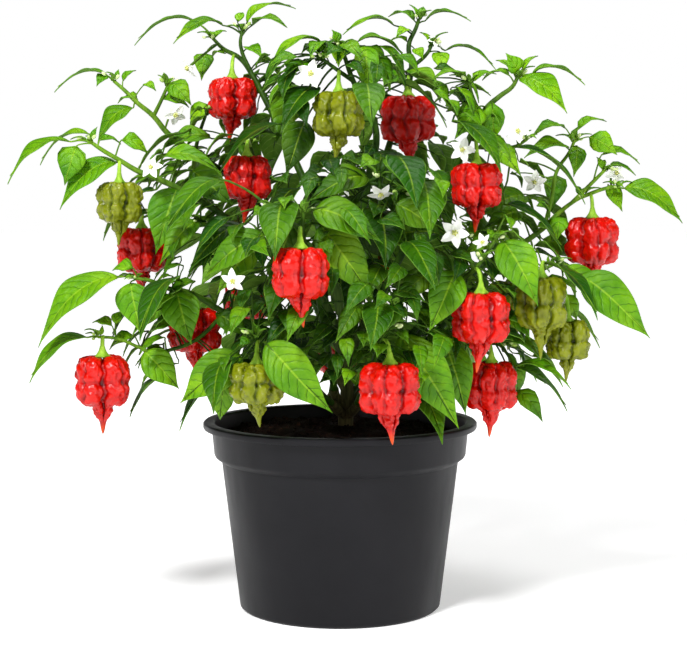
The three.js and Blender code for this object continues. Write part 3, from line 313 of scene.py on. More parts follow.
# For each branch: how much further away it gets than its places say for each mm of its way, its stem's radius at
# the root and the tip, and the places along its stem and then along each twig, root first.
STEMS = {
    "top_left": (0.45, (2.7, 1.2), [
        [(-22, 290, 2), (-38, 325, -4), (-52, 353, -8), (-60, 368, -10), (-68, 379, -10), (-80, 386, -6),
         (-87, 393, -2)],
        [(-60, 368, -10), (-68, 388, -16), (-67, 398, -18)],
    ]),
    "top_centre": (-0.1, (2.9, 1.2), [
        [(8, 212, 4), (20, 300, 0), (25, 327, -5), (19, 346, -10), (9, 364, -12), (4, 378, -12), (1, 387, -10)],
        [(9, 364, -12), (-4, 373, -18), (-12, 379, -20)],
    ]),
    "top_right": (0.3, (2.7, 1.2), [
        [(14, 220, 15), (28, 300, 14), (40, 340, 12), (49, 373, 6), (47, 388, 4), (52, 400, 2), (54, 406, 0)],
        [(49, 373, 6), (60, 383, 0), (63, 389, -2)],
    ]),
    "right_upper": (-0.2, (2.8, 1.2), [
        [(22, 205, 20), (52, 262, 10), (76, 298, 4), (89, 325, 0), (100, 345, -3), (110, 354, -3), (118, 360, -2),
         (122, 367, 0)],
        [(97, 340, -2), (91, 353, -6), (88, 363, -8)],
        [(89, 325, 0), (104, 321, 6), (119, 319, 6), (128, 324, 4)],
    ]),
    "right": (0.12, (2.8, 1.2), [
        [(30, 166, 10), (72, 214, 2), (100, 238, -4), (120, 249, -6), (141, 264, -6), (150, 273, -5), (160, 281, -4),
         (167, 285, -2)],
        [(160, 281, -4), (176, 297, -4), (182, 303, -4)],
        [(167, 285, -2), (184, 291, -4), (191, 292, -4)],
        [(141, 264, -6), (146, 285, -8), (149, 302, -8), (158, 316, -6), (161, 323, -5)],
    ]),
    "right_low": (-0.2, (2.5, 1.1), [
        [(26, 152, 0), (75, 190, -10), (110, 215, -14), (135, 232, -14), (147, 238, -14)],
        [(135, 232, -14), (150, 226, -12), (160, 228, -10)],
        [(75, 190, -10), (100, 184, -16), (112, 183, -18)],
    ]),
    "right_front": (0, (2.5, 1.2), [
        [(22, 152, -14), (52, 186, -50), (78, 222, -72), (93, 235, -80), (98, 241, -82)],
        [(93, 235, -80), (87, 247, -80), (85, 254, -78)],
        [(98, 241, -82), (104, 250, -80), (107, 255, -78)],
    ]),
    "front_right_low": (0, (2.3, 1.1), [
        [(12, 142, -20), (22, 166, -66), (28, 184, -92), (33, 192, -102)],
        [(28, 184, -92), (37, 198, -98), (38, 207, -98)],
    ]),
    "front_centre": (0, (2.5, 1.2), [
        [(-4, 152, -16), (-12, 200, -62), (-20, 240, -92), (-26, 262, -104), (-25, 274, -104)],
        [(-26, 262, -104), (-38, 270, -98), (-48, 277, -94)],
    ]),
    "front_upper": (0, (2.5, 1.2), [
        [(4, 196, -10), (6, 240, -40), (10, 278, -66), (20, 295, -78), (26, 298, -80)],
        [(20, 295, -78), (34, 291, -80), (40, 288, -80)],
    ]),
    "front_left_low": (0, (2.4, 1.1), [
        [(-6, 142, -20), (-30, 162, -62), (-50, 179, -86), (-59, 187, -92)],
    ]),
    "left_low": (-0.2, (2.6, 1.1), [
        [(-12, 172, -6), (-45, 190, -24), (-80, 205, -32), (-105, 219, -34), (-120, 222, -34), (-131, 227, -33),
         (-142, 229, -32)],
        [(-80, 205, -32), (-100, 186, -30), (-118, 179, -30), (-130, 177, -29), (-140, 181, -28), (-155, 187, -27),
         (-168, 188, -26)],
    ]),
    "left": (-0.15, (2.8, 1.2), [
        [(-20, 222, 4), (-55, 252, -8), (-85, 275, -16), (-104, 287, -18), (-125, 297, -18), (-140, 303, -16),
         (-150, 309, -14), (-165, 318, -12), (-172, 323, -10)],
        [(-104, 287, -18), (-120, 278, -14), (-134, 274, -10)],
        [(-85, 275, -16), (-92, 270, -24), (-96, 268, -28)],
    ]),
    "left_upper": (0.2, (2.8, 1.2), [
        [(-14, 205, 14), (-45, 262, 14), (-72, 295, 12), (-100, 315, 8), (-118, 328, 5), (-128, 340, 3),
         (-140, 350, 0), (-147, 357, 0), (-155, 364, 0)],
        [(-128, 340, 3), (-122, 352, 2), (-118, 361, 2)],
        [(-100, 315, 8), (-96, 330, 4), (-92, 341, 2)],
        [(-45, 262, 14), (-56, 300, 4), (-62, 321, -4)],
    ]),
}

# The back of the plant is like its front, turned about the pot's axis by (cosine, sine) and spread outwards.
BACK_STEMS = {
    "back_left": ("right_front", (-0.96, 0.28, 1.15)),
    "back_right": ("right_front", (0.28, 0.96, 1.15)),
    "back_low_left": ("front_right_low", (-0.96, 0.28, 1.1)),
    "back_centre": ("front_centre", (-1, 0, 1.2)),
    "back_upper": ("front_upper", (-0.936, 0.352, 1.15)),
    "back_low_right": ("front_left_low", (-1, 0, 1.15)),
}
TRUNK_LINE = np.array([(4, 0, 84), (4, 0, 132), (5, 0, 150), (4, 1, 175), (2, 3, 202)], float)
TRUNK_RADIUS, TRUNK_TOP_RADIUS = 5.8, 3.8
LIMB_CLIMB = 0.9  # how far up the trunk a limb leaves it, as a share of its way out
LIMB_RUN = 7
LIMB_EXTRA, LIMB_FLARE = 0.5, 0.6  # how much thicker a limb is than its branch, and than that at its own root
WOODY_BELOW, GREEN_ABOVE = 0.135, 0.19
UP = np.array((0, 0, 1.0))


def turned(point, turn):
    """A point turned about the pot's axis and spread outwards."""
    cosine, sine, spread = turn
    x, y, z = point
    return np.array(((x * cosine - y * sine) * spread, (x * sine + y * cosine) * spread, z))


def unit(vector):
    return vector / np.linalg.norm(vector)


class Branch:
    """A leafy branch: its lines as places seen from the viewpoint, and its routes as points in mm."""

    def __init__(self, name, like, turn):
        self.name, self.like, self.turn = name, like, turn
        self.lean, self.thick, lines = STEMS[like]
        self.lines = [[np.array(place, float) for place in line] for line in lines]
        self.routes = [[self.seen(place) for place in line] for line in self.lines]
        self.heading = unit(self.routes[0][1] - self.routes[0][0])

    def seen(self, place):
        across, up, away = place
        root = self.lines[0][0]
        deep = away + self.lean * math.hypot(across - root[0], up - root[1])
        scale = (deep - EYE[1]) / -EYE[1]
        point = (EYE[0] + (across - EYE[0]) * scale, deep, EYE[2] + (up - EYE[2]) * scale)
        return turned(point, self.turn)


branches = [Branch(name, name, (1, 0, 1)) for name in STEMS]
branches += [Branch(name, like, turn) for name, (like, turn) in BACK_STEMS.items()]


def round_wood(name, runs, roundness=3, steps=5):
    """Tapering round stems as one mesh. A run is its points in mm and its radius at its root and at its tip."""
    deselect_all()
    bpy.ops.curve.primitive_bezier_curve_add()
    piece = bpy.context.object
    piece.name = name
    curve = piece.data
    curve.splines.clear()
    curve.bevel_depth = MM
    curve.bevel_resolution = roundness
    curve.resolution_u = steps
    curve.use_fill_caps = True
    for points, root_radius, tip_radius in runs:
        spline = curve.splines.new("BEZIER")
        spline.bezier_points.add(len(points) - 1)
        for i, (knot, point) in enumerate(zip(spline.bezier_points, points)):
            knot.co = Vector(point * MM)
            knot.handle_left_type = knot.handle_right_type = "AUTO"
            knot.radius = root_radius + (tip_radius - root_radius) * i / (len(points) - 1)
    pick(piece)
    bpy.ops.object.convert(target="MESH")
    piece = named(name)
    settle(piece)
    return piece


def limb_of(branch):
    """The run of a limb, from the trunk into the foot of its branch."""
    end = branch.routes[0][0]
    room = math.hypot(end[0] - TRUNK_LINE[0][0], end[1]) * LIMB_CLIMB
    forks = [point for point in TRUNK_LINE[1:] if point[2] < end[2] - room]
    start = forks[-1] if forks else TRUNK_LINE[1]
    radius = branch.thick[0] + LIMB_EXTRA
    return [start, end - branch.heading * LIMB_RUN, end], radius + LIMB_FLARE, radius


def over(material, factor, under, top):
    """One colour or value laid over another."""
    return node(material, "Mix", {0: factor, 6: under, 7: top}, data_type="RGBA").outputs[2]


def bark_tint(material):
    """Woody at its foot, and green further up."""
    streaks = cloudy(420, 4, 0.6, (1, 1, 0.12))(material)
    green = shades(material, streaks, [(0.3, colour(30, 50, 18)), (0.7, colour(70, 92, 38))])
    woody = shades(material, streaks, [(0.3, colour(44, 38, 22)), (0.7, colour(92, 84, 52))])
    height = node(material, "SeparateXYZ", {0: spots_of(material)}).outputs["Z"]
    share = node(material, "MapRange", {
        "Value": height, "From Min": WOODY_BELOW, "From Max": GREEN_ABOVE}).outputs["Result"]
    return over(material, share, woody, green)


bark_roughness = mottled([(0, grey(0.6)), (1, grey(0.8))], 90)
bark = finish_of(
    "green_brown_bark", bark_tint, bark_roughness, cloudy(700, 3, stretch=(1, 1, 0.1)), 0.6 * MM,
    shine=0.08)
trunk = round_wood("trunk_and_limbs", [(TRUNK_LINE, TRUNK_RADIUS, TRUNK_TOP_RADIUS), *map(limb_of, branches)], 5)
belongs(trunk, bark, "bark", "trunk")

# --------------------------------------------------------------------------------------------------- the stems
# The leafy branches' own wood: young green stems, slightly zigzag, swollen where each twig leaves them. Each grows
# of its limb.

TWIG_FLARE, TWIG_TAPER = 0.3, 0.1  # a twig against its stem's tip: thicker at its root, thinner at its own tip
# Painted shade: stems nearer the plant's middle than the first distance, in metres, are painted dark; beyond the
# second they keep their own green.
SHADED_WITHIN, FRESH_BEYOND = 0.1, 0.19


def make_stems(branch):
    root_radius, tip_radius = branch.thick
    runs = [(branch.routes[0], root_radius, tip_radius)]
    for route in branch.routes[1:]:
        runs.append((route, tip_radius + TWIG_FLARE, tip_radius - TWIG_TAPER))
    return round_wood("stems_" + branch.name, runs)


def ramped(material, value, low, high, at_low=0.0, at_high=1.0):
    """A value that goes smoothly from at_low to at_high as another goes from low to high."""
    return node(material, "MapRange", {
        "Value": value, "From Min": low, "From Max": high, "To Min": at_low, "To Max": at_high,
    }, interpolation_type="SMOOTHSTEP").outputs["Result"]


def stem_tint(material):
    """Fresh green outside, with painted shade that darkens it towards the middle of the plant."""
    streaks = cloudy(300, 3, stretch=(1, 1, 0.3))(material)
    fresh = shades(material, streaks, [(0.3, colour(74, 118, 16)), (0.7, colour(118, 156, 34))])
    shaded = shades(material, streaks, [(0.3, colour(20, 46, 4)), (0.7, colour(50, 84, 10))])
    outward = node(material, "VectorMath", {0: spots_of(material, (1, 1, 0.2))}, operation="LENGTH").outputs["Value"]
    # Painted shade: the dark green is laid over the stems' own green towards the middle.
    return over(material, ramped(material, outward, SHADED_WITHIN, FRESH_BEYOND), shaded, fresh)


stem_roughness = mottled([(0, grey(0.38)), (1, grey(0.55))], 120)
stem_ridges = cloudy(900, stretch=(1, 1, 0.15))
green_stem = finish_of("green_stem", stem_tint, stem_roughness, stem_ridges, 0.3 * MM, shine=0.12)
for branch in branches:
    belongs(make_stems(branch), green_stem, "foliage", "branch_" + branch.name)

# -------------------------------------------------------------------------------------------------- the leaves
# Thin soft leaves, each on its own stalk from the stem: pointed ovals, widest near the base, quilted between sunken
# The young ones at the tips are small and yellowish; the inner ones are a deeper green, with painted shade on them.

# For each branch: (across, up) of a blade's base, (across, up) of its tip, its width, how far its tip lies behind
# its base, and which way its upper face looks, from 0 for up to 1 for the front.
LEAVES = {
    "top_left": [
        (-97, 403, -142, 390, 21, -8, 0.1), (-80, 402, -115, 391, 20, -26, 0.25), (-64, 403, -30, 415, 16, 20, 0.1),
        (-60, 402, -36, 402, 17, -14, 0.2), (-64, 386, -53, 380, 11, -14, 0.4), (-92, 383, -95, 365, 15, -10, 0.8),
        (-79, 383, -88, 381, 9, 10, 0.3), (-31, 362, -44, 322, 28, -14, 0.85), (-70, 404, -66, 411, 7, 6, 0.4),
    ],
    "top_centre": [
        (-13, 391, -50, 375, 20, -14, 0.15), (-11, 391, -16, 381, 8, -8, 0.6), (-2, 390, -5, 399, 9, 0, 0.3),
        (0, 388, -1, 374, 12, -14, 0.7), (17, 388, 21, 351, 17, -20, 0.8), (12, 391, 46, 381, 20, 10, 0.15),
        (-22, 377, -35, 367, 14, -8, 0.4), (-9, 380, -24, 376, 9, 8, 0.2), (-24, 337, -38, 299, 23, -14, 0.85),
    ],
    "top_right": [
        (37, 402, 1, 397, 21, -6, 0.15), (51, 405, 33, 409, 14, 14, 0.1), (55, 406, 57, 415, 7, 4, 0.3),
        (58, 405, 90, 406, 20, -6, 0.1), (47, 399, 38, 394, 9, -8, 0.4), (46, 391, 34, 392, 9, 8, 0.2),
        (51, 386, 57, 379, 9, -6, 0.5), (68, 384, 70, 370, 13, -8, 0.85), (72, 385, 108, 373, 20, -6, 0.1),
        (45, 370, 70, 353, 19, -20, 0.3), (41, 370, 31, 360, 13, -8, 0.6),
    ],
    "right_upper": [
        (87, 366, 62, 366, 18, -10, 0.15), (91, 364, 107, 370, 14, 6, 0.2), (90, 353, 63, 350, 18, 10, 0.15),
        (96, 347, 79, 325, 19, -18, 0.8), (104, 350, 106, 322, 16, 10, 0.8), (118, 371, 107, 379, 8, 4, 0.3),
        (122, 370, 114, 383, 13, -4, 0.7), (125, 371, 135, 382, 7, 6, 0.2), (131, 369, 169, 363, 20, 6, 0.1),
        (123, 366, 157, 343, 23, -16, 0.45), (116, 368, 97, 366, 14, 12, 0.2), (103, 320, 125, 300, 16, -14, 0.6),
    ],
    "right": [
        (155, 332, 131, 327, 18, -6, 0.2), (163, 331, 183, 338, 12, 8, 0.2), (157, 318, 126, 313, 21, -12, 0.3),
        (163, 320, 161, 299, 13, -10, 0.85), (171, 326, 191, 314, 17, -4, 0.75), (180, 314, 207, 309, 14, 6, 0.3),
        (183, 305, 204, 301, 13, -6, 0.2), (195, 291, 238, 268, 27, -10, 0.4), (185, 293, 195, 275, 12, -8, 0.7),
        (149, 300, 146, 275, 17, -14, 0.85), (128, 285, 93, 270, 21, -26, 0.6), (124, 274, 98, 263, 18, -20, 0.6),
        (151, 272, 150, 255, 14, -6, 0.8), (140, 256, 162, 242, 17, 8, 0.6),
    ],
    "right_low": [
        (165, 231, 217, 187, 29, -4, 0.7), (157, 238, 180, 207, 17, 12, 0.5), (155, 218, 165, 199, 12, 4, 0.6),
        (117, 206, 132, 187, 17, -6, 0.5), (113, 186, 143, 170, 17, 8, 0.3), (122, 168, 162, 153, 15, -2, 0.2),
        (118, 172, 124, 146, 16, 10, 0.5), (122, 151, 142, 129, 15, 0, 0.5),
    ],
    "right_front": [
        (112, 255, 138, 209, 27, -16, 0.75), (80, 234, 61, 191, 25, -16, 0.8), (61, 233, 40, 212, 18, -10, 0.7),
        (103, 253, 86, 246, 13, -8, 0.5), (70, 259, 31, 256, 22, 12, 0.6), (72, 186, 88, 132, 25, -10, 0.8),
    ],
    "front_right_low": [
        (41, 190, 84, 122, 31, -6, 0.85), (26, 205, 0, 199, 16, -8, 0.25), (35, 210, 25, 208, 7, -6, 0.3),
        (40, 207, 47, 202, 8, -4, 0.6), (30, 199, 23, 189, 8, -6, 0.8), (15, 169, 10, 153, 14, 10, 0.8),
    ],
    "front_centre": [
        (-19, 276, 31, 254, 27, -8, 0.55), (-14, 266, 25, 211, 28, -10, 0.85), (-33, 265, -45, 231, 20, 8, 0.85),
        (-51, 259, -96, 229, 22, 4, 0.6), (-58, 252, -86, 217, 20, -8, 0.75), (-30, 281, -40, 283, 9, -4, 0.3),
        (-44, 280, -34, 271, 10, -8, 0.6), (-53, 277, -60, 272, 8, -4, 0.6),
    ],
    "front_upper": [
        (20, 298, -24, 282, 24, -12, 0.5), (37, 290, 72, 268, 23, -6, 0.6), (38, 280, 66, 262, 20, 8, 0.7),
        (14, 268, 34, 240, 20, 10, 0.8), (2, 272, -16, 244, 20, 12, 0.8),
    ],
    "front_left_low": [
        (-68, 176, -113, 141, 28, 0, 0.75), (-52, 184, -4, 134, 28, -6, 0.85), (-80, 158, -84, 129, 16, 10, 0.8),
        (-63, 187, -70, 182, 7, -4, 0.6), (-58, 190, -60, 198, 6, -4, 0.5),
    ],
    "left_low": [
        (-152, 230, -212, 182, 29, -8, 0.35), (-143, 236, -158, 235, 13, 6, 0.4),
        (-145, 226, -139, 190, 24, -8, 0.85), (-121, 219, -138, 193, 19, 10, 0.6),
        (-113, 220, -103, 182, 26, -14, 0.85), (-175, 188, -218, 157, 20, -6, 0.2),
        (-158, 196, -172, 199, 11, 6, 0.3), (-156, 197, -151, 207, 8, 4, 0.4), (-143, 189, -161, 180, 12, 6, 0.4),
        (-136, 178, -111, 151, 22, -6, 0.7), (-122, 164, -139, 155, 11, 14, 0.2),
        (-117, 197, -134, 191, 15, 10, 0.4), (-86, 204, -62, 189, 17, -8, 0.6),
    ],
    "left": [
        (-185, 323, -231, 295, 23, -4, 0.2), (-172, 328, -208, 308, 18, 10, 0.2),
        (-181, 320, -190, 293, 20, -8, 0.85), (-153, 309, -195, 277, 25, -8, 0.4),
        (-165, 324, -150, 322, 11, 6, 0.3), (-150, 324, -131, 315, 16, 8, 0.5), (-122, 312, -80, 302, 21, -10, 0.35),
        (-102, 303, -73, 279, 23, -14, 0.8), (-112, 291, -128, 245, 29, -12, 0.85),
        (-97, 268, -126, 238, 18, -14, 0.5),
    ],
    "left_upper": [
        (-158, 367, -197, 358, 19, -6, 0.1), (-160, 368, -167, 361, 9, -8, 0.5), (-149, 364, -140, 372, 7, 4, 0.3),
        (-142, 346, -168, 322, 21, -8, 0.35), (-139, 352, -153, 350, 12, 8, 0.3),
        (-116, 363, -102, 348, 16, -6, 0.7), (-122, 352, -103, 347, 15, 6, 0.4), (-90, 348, -104, 334, 15, 6, 0.6),
        (-88, 325, -124, 318, 21, -10, 0.4), (-134, 362, -126, 358, 8, -6, 0.4), (-70, 322, -52, 306, 18, 10, 0.6),
    ],
}

RIPE, GREEN = "ripe_pod", "unripe_pod"

# For each branch: (across, up, away) of a pod's shoulder, its width, length and turn, and how ripe it is.
PODS = {
    "top_left": [(-74, 366, -14, 34, 46, 0.3, RIPE)],
    "top_centre": [(-1, 357, -22, 32, 48, 1.1, GREEN)],
    "top_right": [(46.5, 354, -14, 36, 52, 0.7, RIPE)],
    "right_upper": [(94, 308, -14, 33, 47, 0.2, RIPE)],
    "right": [(174, 271, -6, 35, 53, 0.9, RIPE)],
    "right_low": [
        (139.5, 230, -36, 31, 55, 0.5, GREEN), (158, 200, -16, 28, 43, 0.2, GREEN),
        (105, 171, -30, 33, 52, 0.9, RIPE),
    ],
    "right_front": [(97.5, 219, -88, 35, 52, 0.4, RIPE)],
    "front_right_low": [(34.5, 170, -112, 36, 52, 0.6, RIPE)],
    "front_centre": [(-27.5, 250, -124, 36, 50, 0.1, RIPE)],
    "front_left_low": [(-58, 170, -98, 32, 42, 0.8, GREEN)],
    "left_low": [(-165, 175, -28, 37, 53, 0.2, RIPE), (-101, 208, -6, 34, 48, 0.6, RIPE)],
    "left": [(-152, 295, -16, 29, 43, 0.5, GREEN), (-137, 264, 10, 31, 49, 0.9, RIPE)],
    "left_upper": [(-64, 313, -23, 32, 48, 0.4, RIPE)],
}
BACK_PODS = {
    "back_left": RIPE, "back_right": GREEN, "back_low_left": RIPE, "back_centre": RIPE, "back_upper": RIPE,
    "back_low_right": GREEN,
}

# For each branch: (across, up, away) of a flower's heart, the way that it looks, and its width.
FLOWERS = {
    "top_left": [(-104, 373, -4, (-0.8, -0.3, -0.5), 17)],
    "top_centre": [(-20, 369, -30, (-0.1, -1, 0.1), 20)],
    "top_right": [(65, 391, -4, (0.5, -0.5, 0.6), 13)],
    "right_upper": [(84, 317, -20, (0, -1, 0.1), 18), (122, 330, 0, (0.1, -1, 0), 17)],
    "right": [(134, 295, -14, (-0.2, -1, -0.2), 17), (190, 301, 2, (0.3, -0.8, 0.3), 17)],
    "right_front": [(79, 260, -90, (0.1, -1, 0.1), 20), (98, 254, -88, (0.3, -0.6, -0.4), 13)],
    "front_centre": [(-74, 227, -112, (-0.3, -0.9, -0.4), 17)],
    "front_upper": [(28, 287, -88, (0.1, -0.55, -0.8), 18)],
    "left": [(-130, 305, -36, (-0.2, -0.8, 0.4), 16)],
    "left_upper": [(-113, 341, -6, (0.3, -0.8, -0.4), 17)],
}

# The leaves inside the crown stand in three domes, one in another: how far out each is, and how many leaves it has.
INNER_SHELLS = [(1, 44), (0.74, 34), (0.46, 20)]
INNER_LOW, INNER_HIGH, INNER_MIDDLE = 158, 370, 240
INNER_DOME = np.array((140, 112, 140.0))
INNER_SHORTEST, INNER_LONGEST, INNER_WIDTH, INNER_SWAY = 44, 64, 0.46, 1.2
INNER_REACH, INNER_DROP = 0.8, 0.6  # how far out and down its tip hangs, as shares of its length
# The inner leaves' darkness runs high: a deeper green, and painted shade inside the crown.
INNER_LOOK, INNER_ARCH, INNER_AGES_AND_SHADE = 0.8, 0.12, (0.7, 1)
INNER_INSETS, INNER_LIFTS, INNER_SWINGS = (0, -0.07, 0.07, -0.14), (0, 9, -9), (0, 0.22, -0.22)
GOLDEN_TURN = math.pi * (3 - math.sqrt(5))
FIRST_DRAW, DRAW_STEP, DRAW_TOP = 20, 48271, 2147483647

# Small leaves between them, too many to measure: where they may stand, how long they are, and how far apart.
SMALL_LEAF_TRIES, SMALL_LEAF_DOME, SMALL_LEAF_LENGTHS = 2600, (150, 122, 152), (17, 32)
SMALL_LEAF_UPS, SMALL_LEAF_STALK, SMALL_LEAF_SPACING, SMALL_LEAF_ROOM = (168, 388), 34, 11, 2
SMALL_LEAF_WIDTH, SMALL_LEAF_LOOK, SMALL_LEAF_ARCH = 0.44, 0.9, 0.14
# Small leaves inside the outermost shell get a higher darkness, which is painted shade.
OUTERMOST, OUTER_AGES, DEEPER_AGES_AND_SHADE = 0.93, (0.2, 0.6), (0.55, 1)
LEAVES_PER_TIP, TIP_LEAF_LENGTHS, TIP_LEAF_WIDTH, TIP_LEAF_STALK = 4, (6, 13), 0.42, 1.5

# How far a measured leaf may stand from its place along the line of sight, the shortest leaf that the frame has, the
# room that a shorter one needs, and how near two points are the same.
SHIFTS = [0, -6, 6, -12, 12, -18, 18, -24, 24, -30, 30, -36, 36]
SMALLEST_IN_FRAME, ROOM_FOR_SMALLER, MATCH = 24, 2.2, 0.3
AGES = (0.1, 0.45)
ARCH, ARCH_LOST = 0.2, 0.1  # a blade's arch as a share of its length, and how much less it is when it looks forward
WIDEST_AT, POINTED, NARROWED = 0.36, 0.5, 0.35
LEAF_THICKNESS = 0.55 * MM
RIB_DEPTH, RIB_TIP_RADIUS, STALK_RADIUS, STALK_GAIN = 0.55, 0.3, 0.45, 0.008
QUILT = 6.8  # mm between side veins
VEIN_SLANT, VEIN_CURVE, VEIN_WANDER = 0.6, 0.45, 0.16

# How far a blade folds up from its midrib and waves at its edges, as shares of half its width, and how far it puffs
# up between its veins, sways aside and droops at its tip, as shares of its length.
FOLD, WAVE, PUFF, SWAY, TIP_DROOP = 0.2, 0.1, 0.007, 0.03, 0.05
RIB_SUNK, RIB_WIDTH = 0.3, 0.1
# Painted shade: leaves nearer the crown's middle than these distances, in metres, are painted darker.
CROWN_MIDDLE, PAINTED_SHADE_WITHIN = (0, 0, 0.24), (0.06, 0.155)


def blade(name, rows, columns):
    """A flat blade, from -1 to 1 along and across, drawn together to a point at both ends."""
    deselect_all()
    bpy.ops.mesh.primitive_grid_add(x_subdivisions=rows, y_subdivisions=columns, size=2)
    piece = named(name)
    for end in (-1, 1):
        bpy.ops.object.mode_set(mode="EDIT")
        bpy.ops.mesh.select_mode(type="VERT")
        bpy.ops.mesh.select_all(action="DESELECT")
        bpy.ops.object.mode_set(mode="OBJECT")
        for vertex in piece.data.vertices:
            vertex.select = abs(vertex.co.x - end) < 1e-4
        bpy.ops.object.mode_set(mode="EDIT")
        bpy.ops.mesh.merge(type="CENTER")
        bpy.ops.object.mode_set(mode="OBJECT")
    return piece


large_blade = blade("large_blade", 22, 8)
inner_blade = blade("inner_blade", 12, 6)
small_blade = blade("small_blade", 6, 4)


def points_of(piece):
    flat = np.empty(len(piece.data.vertices) * 3)
    piece.data.vertices.foreach_get("co", flat)
    return flat.reshape(-1, 3)


class Leaf:
    """A blade from base to tip in mm, its upper face towards facing, on a stalk from root. Its darkness runs from 0
    for young leaves to 1 for older leaves and for leaves in painted shade.
    """

    def __init__(self, root, base, tip, width, facing, arch, age_and_shade):
        self.root, self.base, self.width, self.arch, self.age_and_shade = root, base, width, arch, age_and_shade
        self.inner = False
        self.length = np.linalg.norm(tip - base)
        self.way = (tip - base) / self.length
        self.normal = unit(facing - self.way * np.dot(facing, self.way))
        self.side = np.cross(self.normal, self.way)
        self.tip = tip

    def half_width(self, share):
        """Half the blade's width at a share of its length: a pointed oval, narrower towards its tip."""
        power = math.log(0.5) / math.log(WIDEST_AT)
        oval = np.sin(np.pi * share ** power) ** (1 + POINTED * share ** 3)
        return self.width / 2 * oval * (1 - NARROWED * share ** 3)

    def rise(self, share):
        return self.arch * self.length * np.sin(np.pi * share ** 0.75)

    def middle(self, share, lift=0.0):
        """A point on the midrib, raised by lift."""
        return self.base + self.way * self.length * share + self.normal * (self.rise(share) + lift)

    def lay(self, flat, phase):
        """The points of the blade for flat points, and for each its place between the side veins."""
        share, across = (flat[:, 0] + 1) / 2, flat[:, 1]
        half = self.half_width(np.clip(share, 0, 1))
        slant = VEIN_SLANT * np.abs(across) + VEIN_CURVE * across ** 2
        veins = max(3, round(self.length / QUILT)) * (share ** 0.85 - slant * half / self.length)
        puff = np.abs(np.sin(np.pi * veins)) * np.sin(np.pi * np.minimum(np.abs(across), 1) ** 0.8)
        rise = self.rise(share) + FOLD * half * np.abs(across) * (1 - 0.3 * across ** 2)
        rise += PUFF * self.length * puff * np.sin(np.pi * share) ** 0.5
        rise -= RIB_SUNK * np.exp(-(across / RIB_WIDTH) ** 2)
        rise += WAVE * half * np.abs(across) ** 3 * np.sin(11 * share + phase + 2 * np.sign(across))
        rise -= TIP_DROOP * self.length * share ** 4
        sway = SWAY * self.length * np.sin(phase) * np.sin(np.pi * share) * share
        points = self.base + np.outer(self.length * share, self.way)
        points += np.outer(half * across + sway, self.side) + np.outer(rise, self.normal)
        return points, veins


NODE_BACK, NODE_STEP, NODES = 1.4, 0.9, 4  # how far back along the wood each next stalk leaves it, in turn
AHEAD_COST = 3


def nearest_seen(branch, across, up, order, heading=(0, 0)):
    """The place of a branch's lines that is seen nearest to (across, up), a little way back along the wood."""
    back = NODE_BACK + NODE_STEP * (order % NODES)
    ahead_cost = AHEAD_COST / (math.hypot(*heading) or 1)
    best, best_gap = None, math.inf
    for line in branch.lines:
        for start, end in zip(line, line[1:]):
            step = end - start
            long = math.hypot(step[0], step[1])
            share = ((across - start[0]) * step[0] + (up - start[1]) * step[1]) / (long * long)
            spot = start + step * min(max(min(share, 1) - back / long, 0.04), 0.96)
            aside = spot[:2] - (across, up)
            gap = math.hypot(*aside) + ahead_cost * max(0, np.dot(aside, heading))
            if gap < best_gap:
                best, best_gap = spot, gap
    return best


def frame_points(name):
    """The corners of a node of the frame in mm, to look places up in."""
    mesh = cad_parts[name].data
    tree = kdtree.KDTree(len(mesh.vertices))
    for i, vertex in enumerate(mesh.vertices):
        tree.insert(vertex.co / MM, i)
    tree.balance()
    return tree


def frame_surface():
    """All that the frame has, as one surface in mm."""
    corners, faces = [], []
    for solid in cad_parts.values():
        first = len(corners)
        corners += [vertex.co / MM for vertex in solid.data.vertices]
        faces += [[first + i for i in polygon.vertices] for polygon in solid.data.polygons]
    return bvhtree.BVHTree.FromPolygons(corners, faces)


corners_of = {branch.name: frame_points("branch_" + branch.name) for branch in branches}
surface = frame_surface()


def room_round(leaf):
    """How far the outer half of a blade is from all that the frame has."""
    return min(surface.find_nearest(Vector(leaf.middle(share)))[3] for share in (0.5, 0.75, 1))


POD_MIDDLE, POD_HALF_HEIGHT, POD_HALF_WIDTH = 0.36, 0.42, 0.48  # shares of a pod's length, length and width
ACROSS_BLADE, ALONG_BLADE, COVER = (-1, 0, 1), (0.05, 0.2, 0.35, 0.5, 0.65, 0.8, 1), 1.1


def shown_on(branch):
    """The middles of a front branch's pods and flowers, with half their width and height, in mm."""
    found = []
    for across, up, away, width, length, *_ in PODS.get(branch.name, []):
        middle = branch.seen((across, up, away)) - UP * POD_MIDDLE * length
        found.append((middle, POD_HALF_WIDTH * width, POD_HALF_HEIGHT * length))
    for across, up, away, _, width in FLOWERS.get(branch.name, []):
        found.append((branch.seen((across, up, away)), 0.5 * width, 0.5 * width))
    return found


shown = [one for branch in branches for one in shown_on(branch)]


def hides(leaf):
    """Whether a leaf hangs before a pod or a flower that is in view."""
    for share, across in itertools.product(ALONG_BLADE, ACROSS_BLADE):
        point = leaf.middle(share) + leaf.side * leaf.half_width(share) * across
        for middle, half_width, half_height in shown:
            aside, _, high = EYE + (point - EYE) * (middle[1] - EYE[1]) / (point[1] - EYE[1]) - middle
            if point[1] < middle[1] and math.hypot(aside / half_width, high / half_height) < COVER:
                return True
    return False


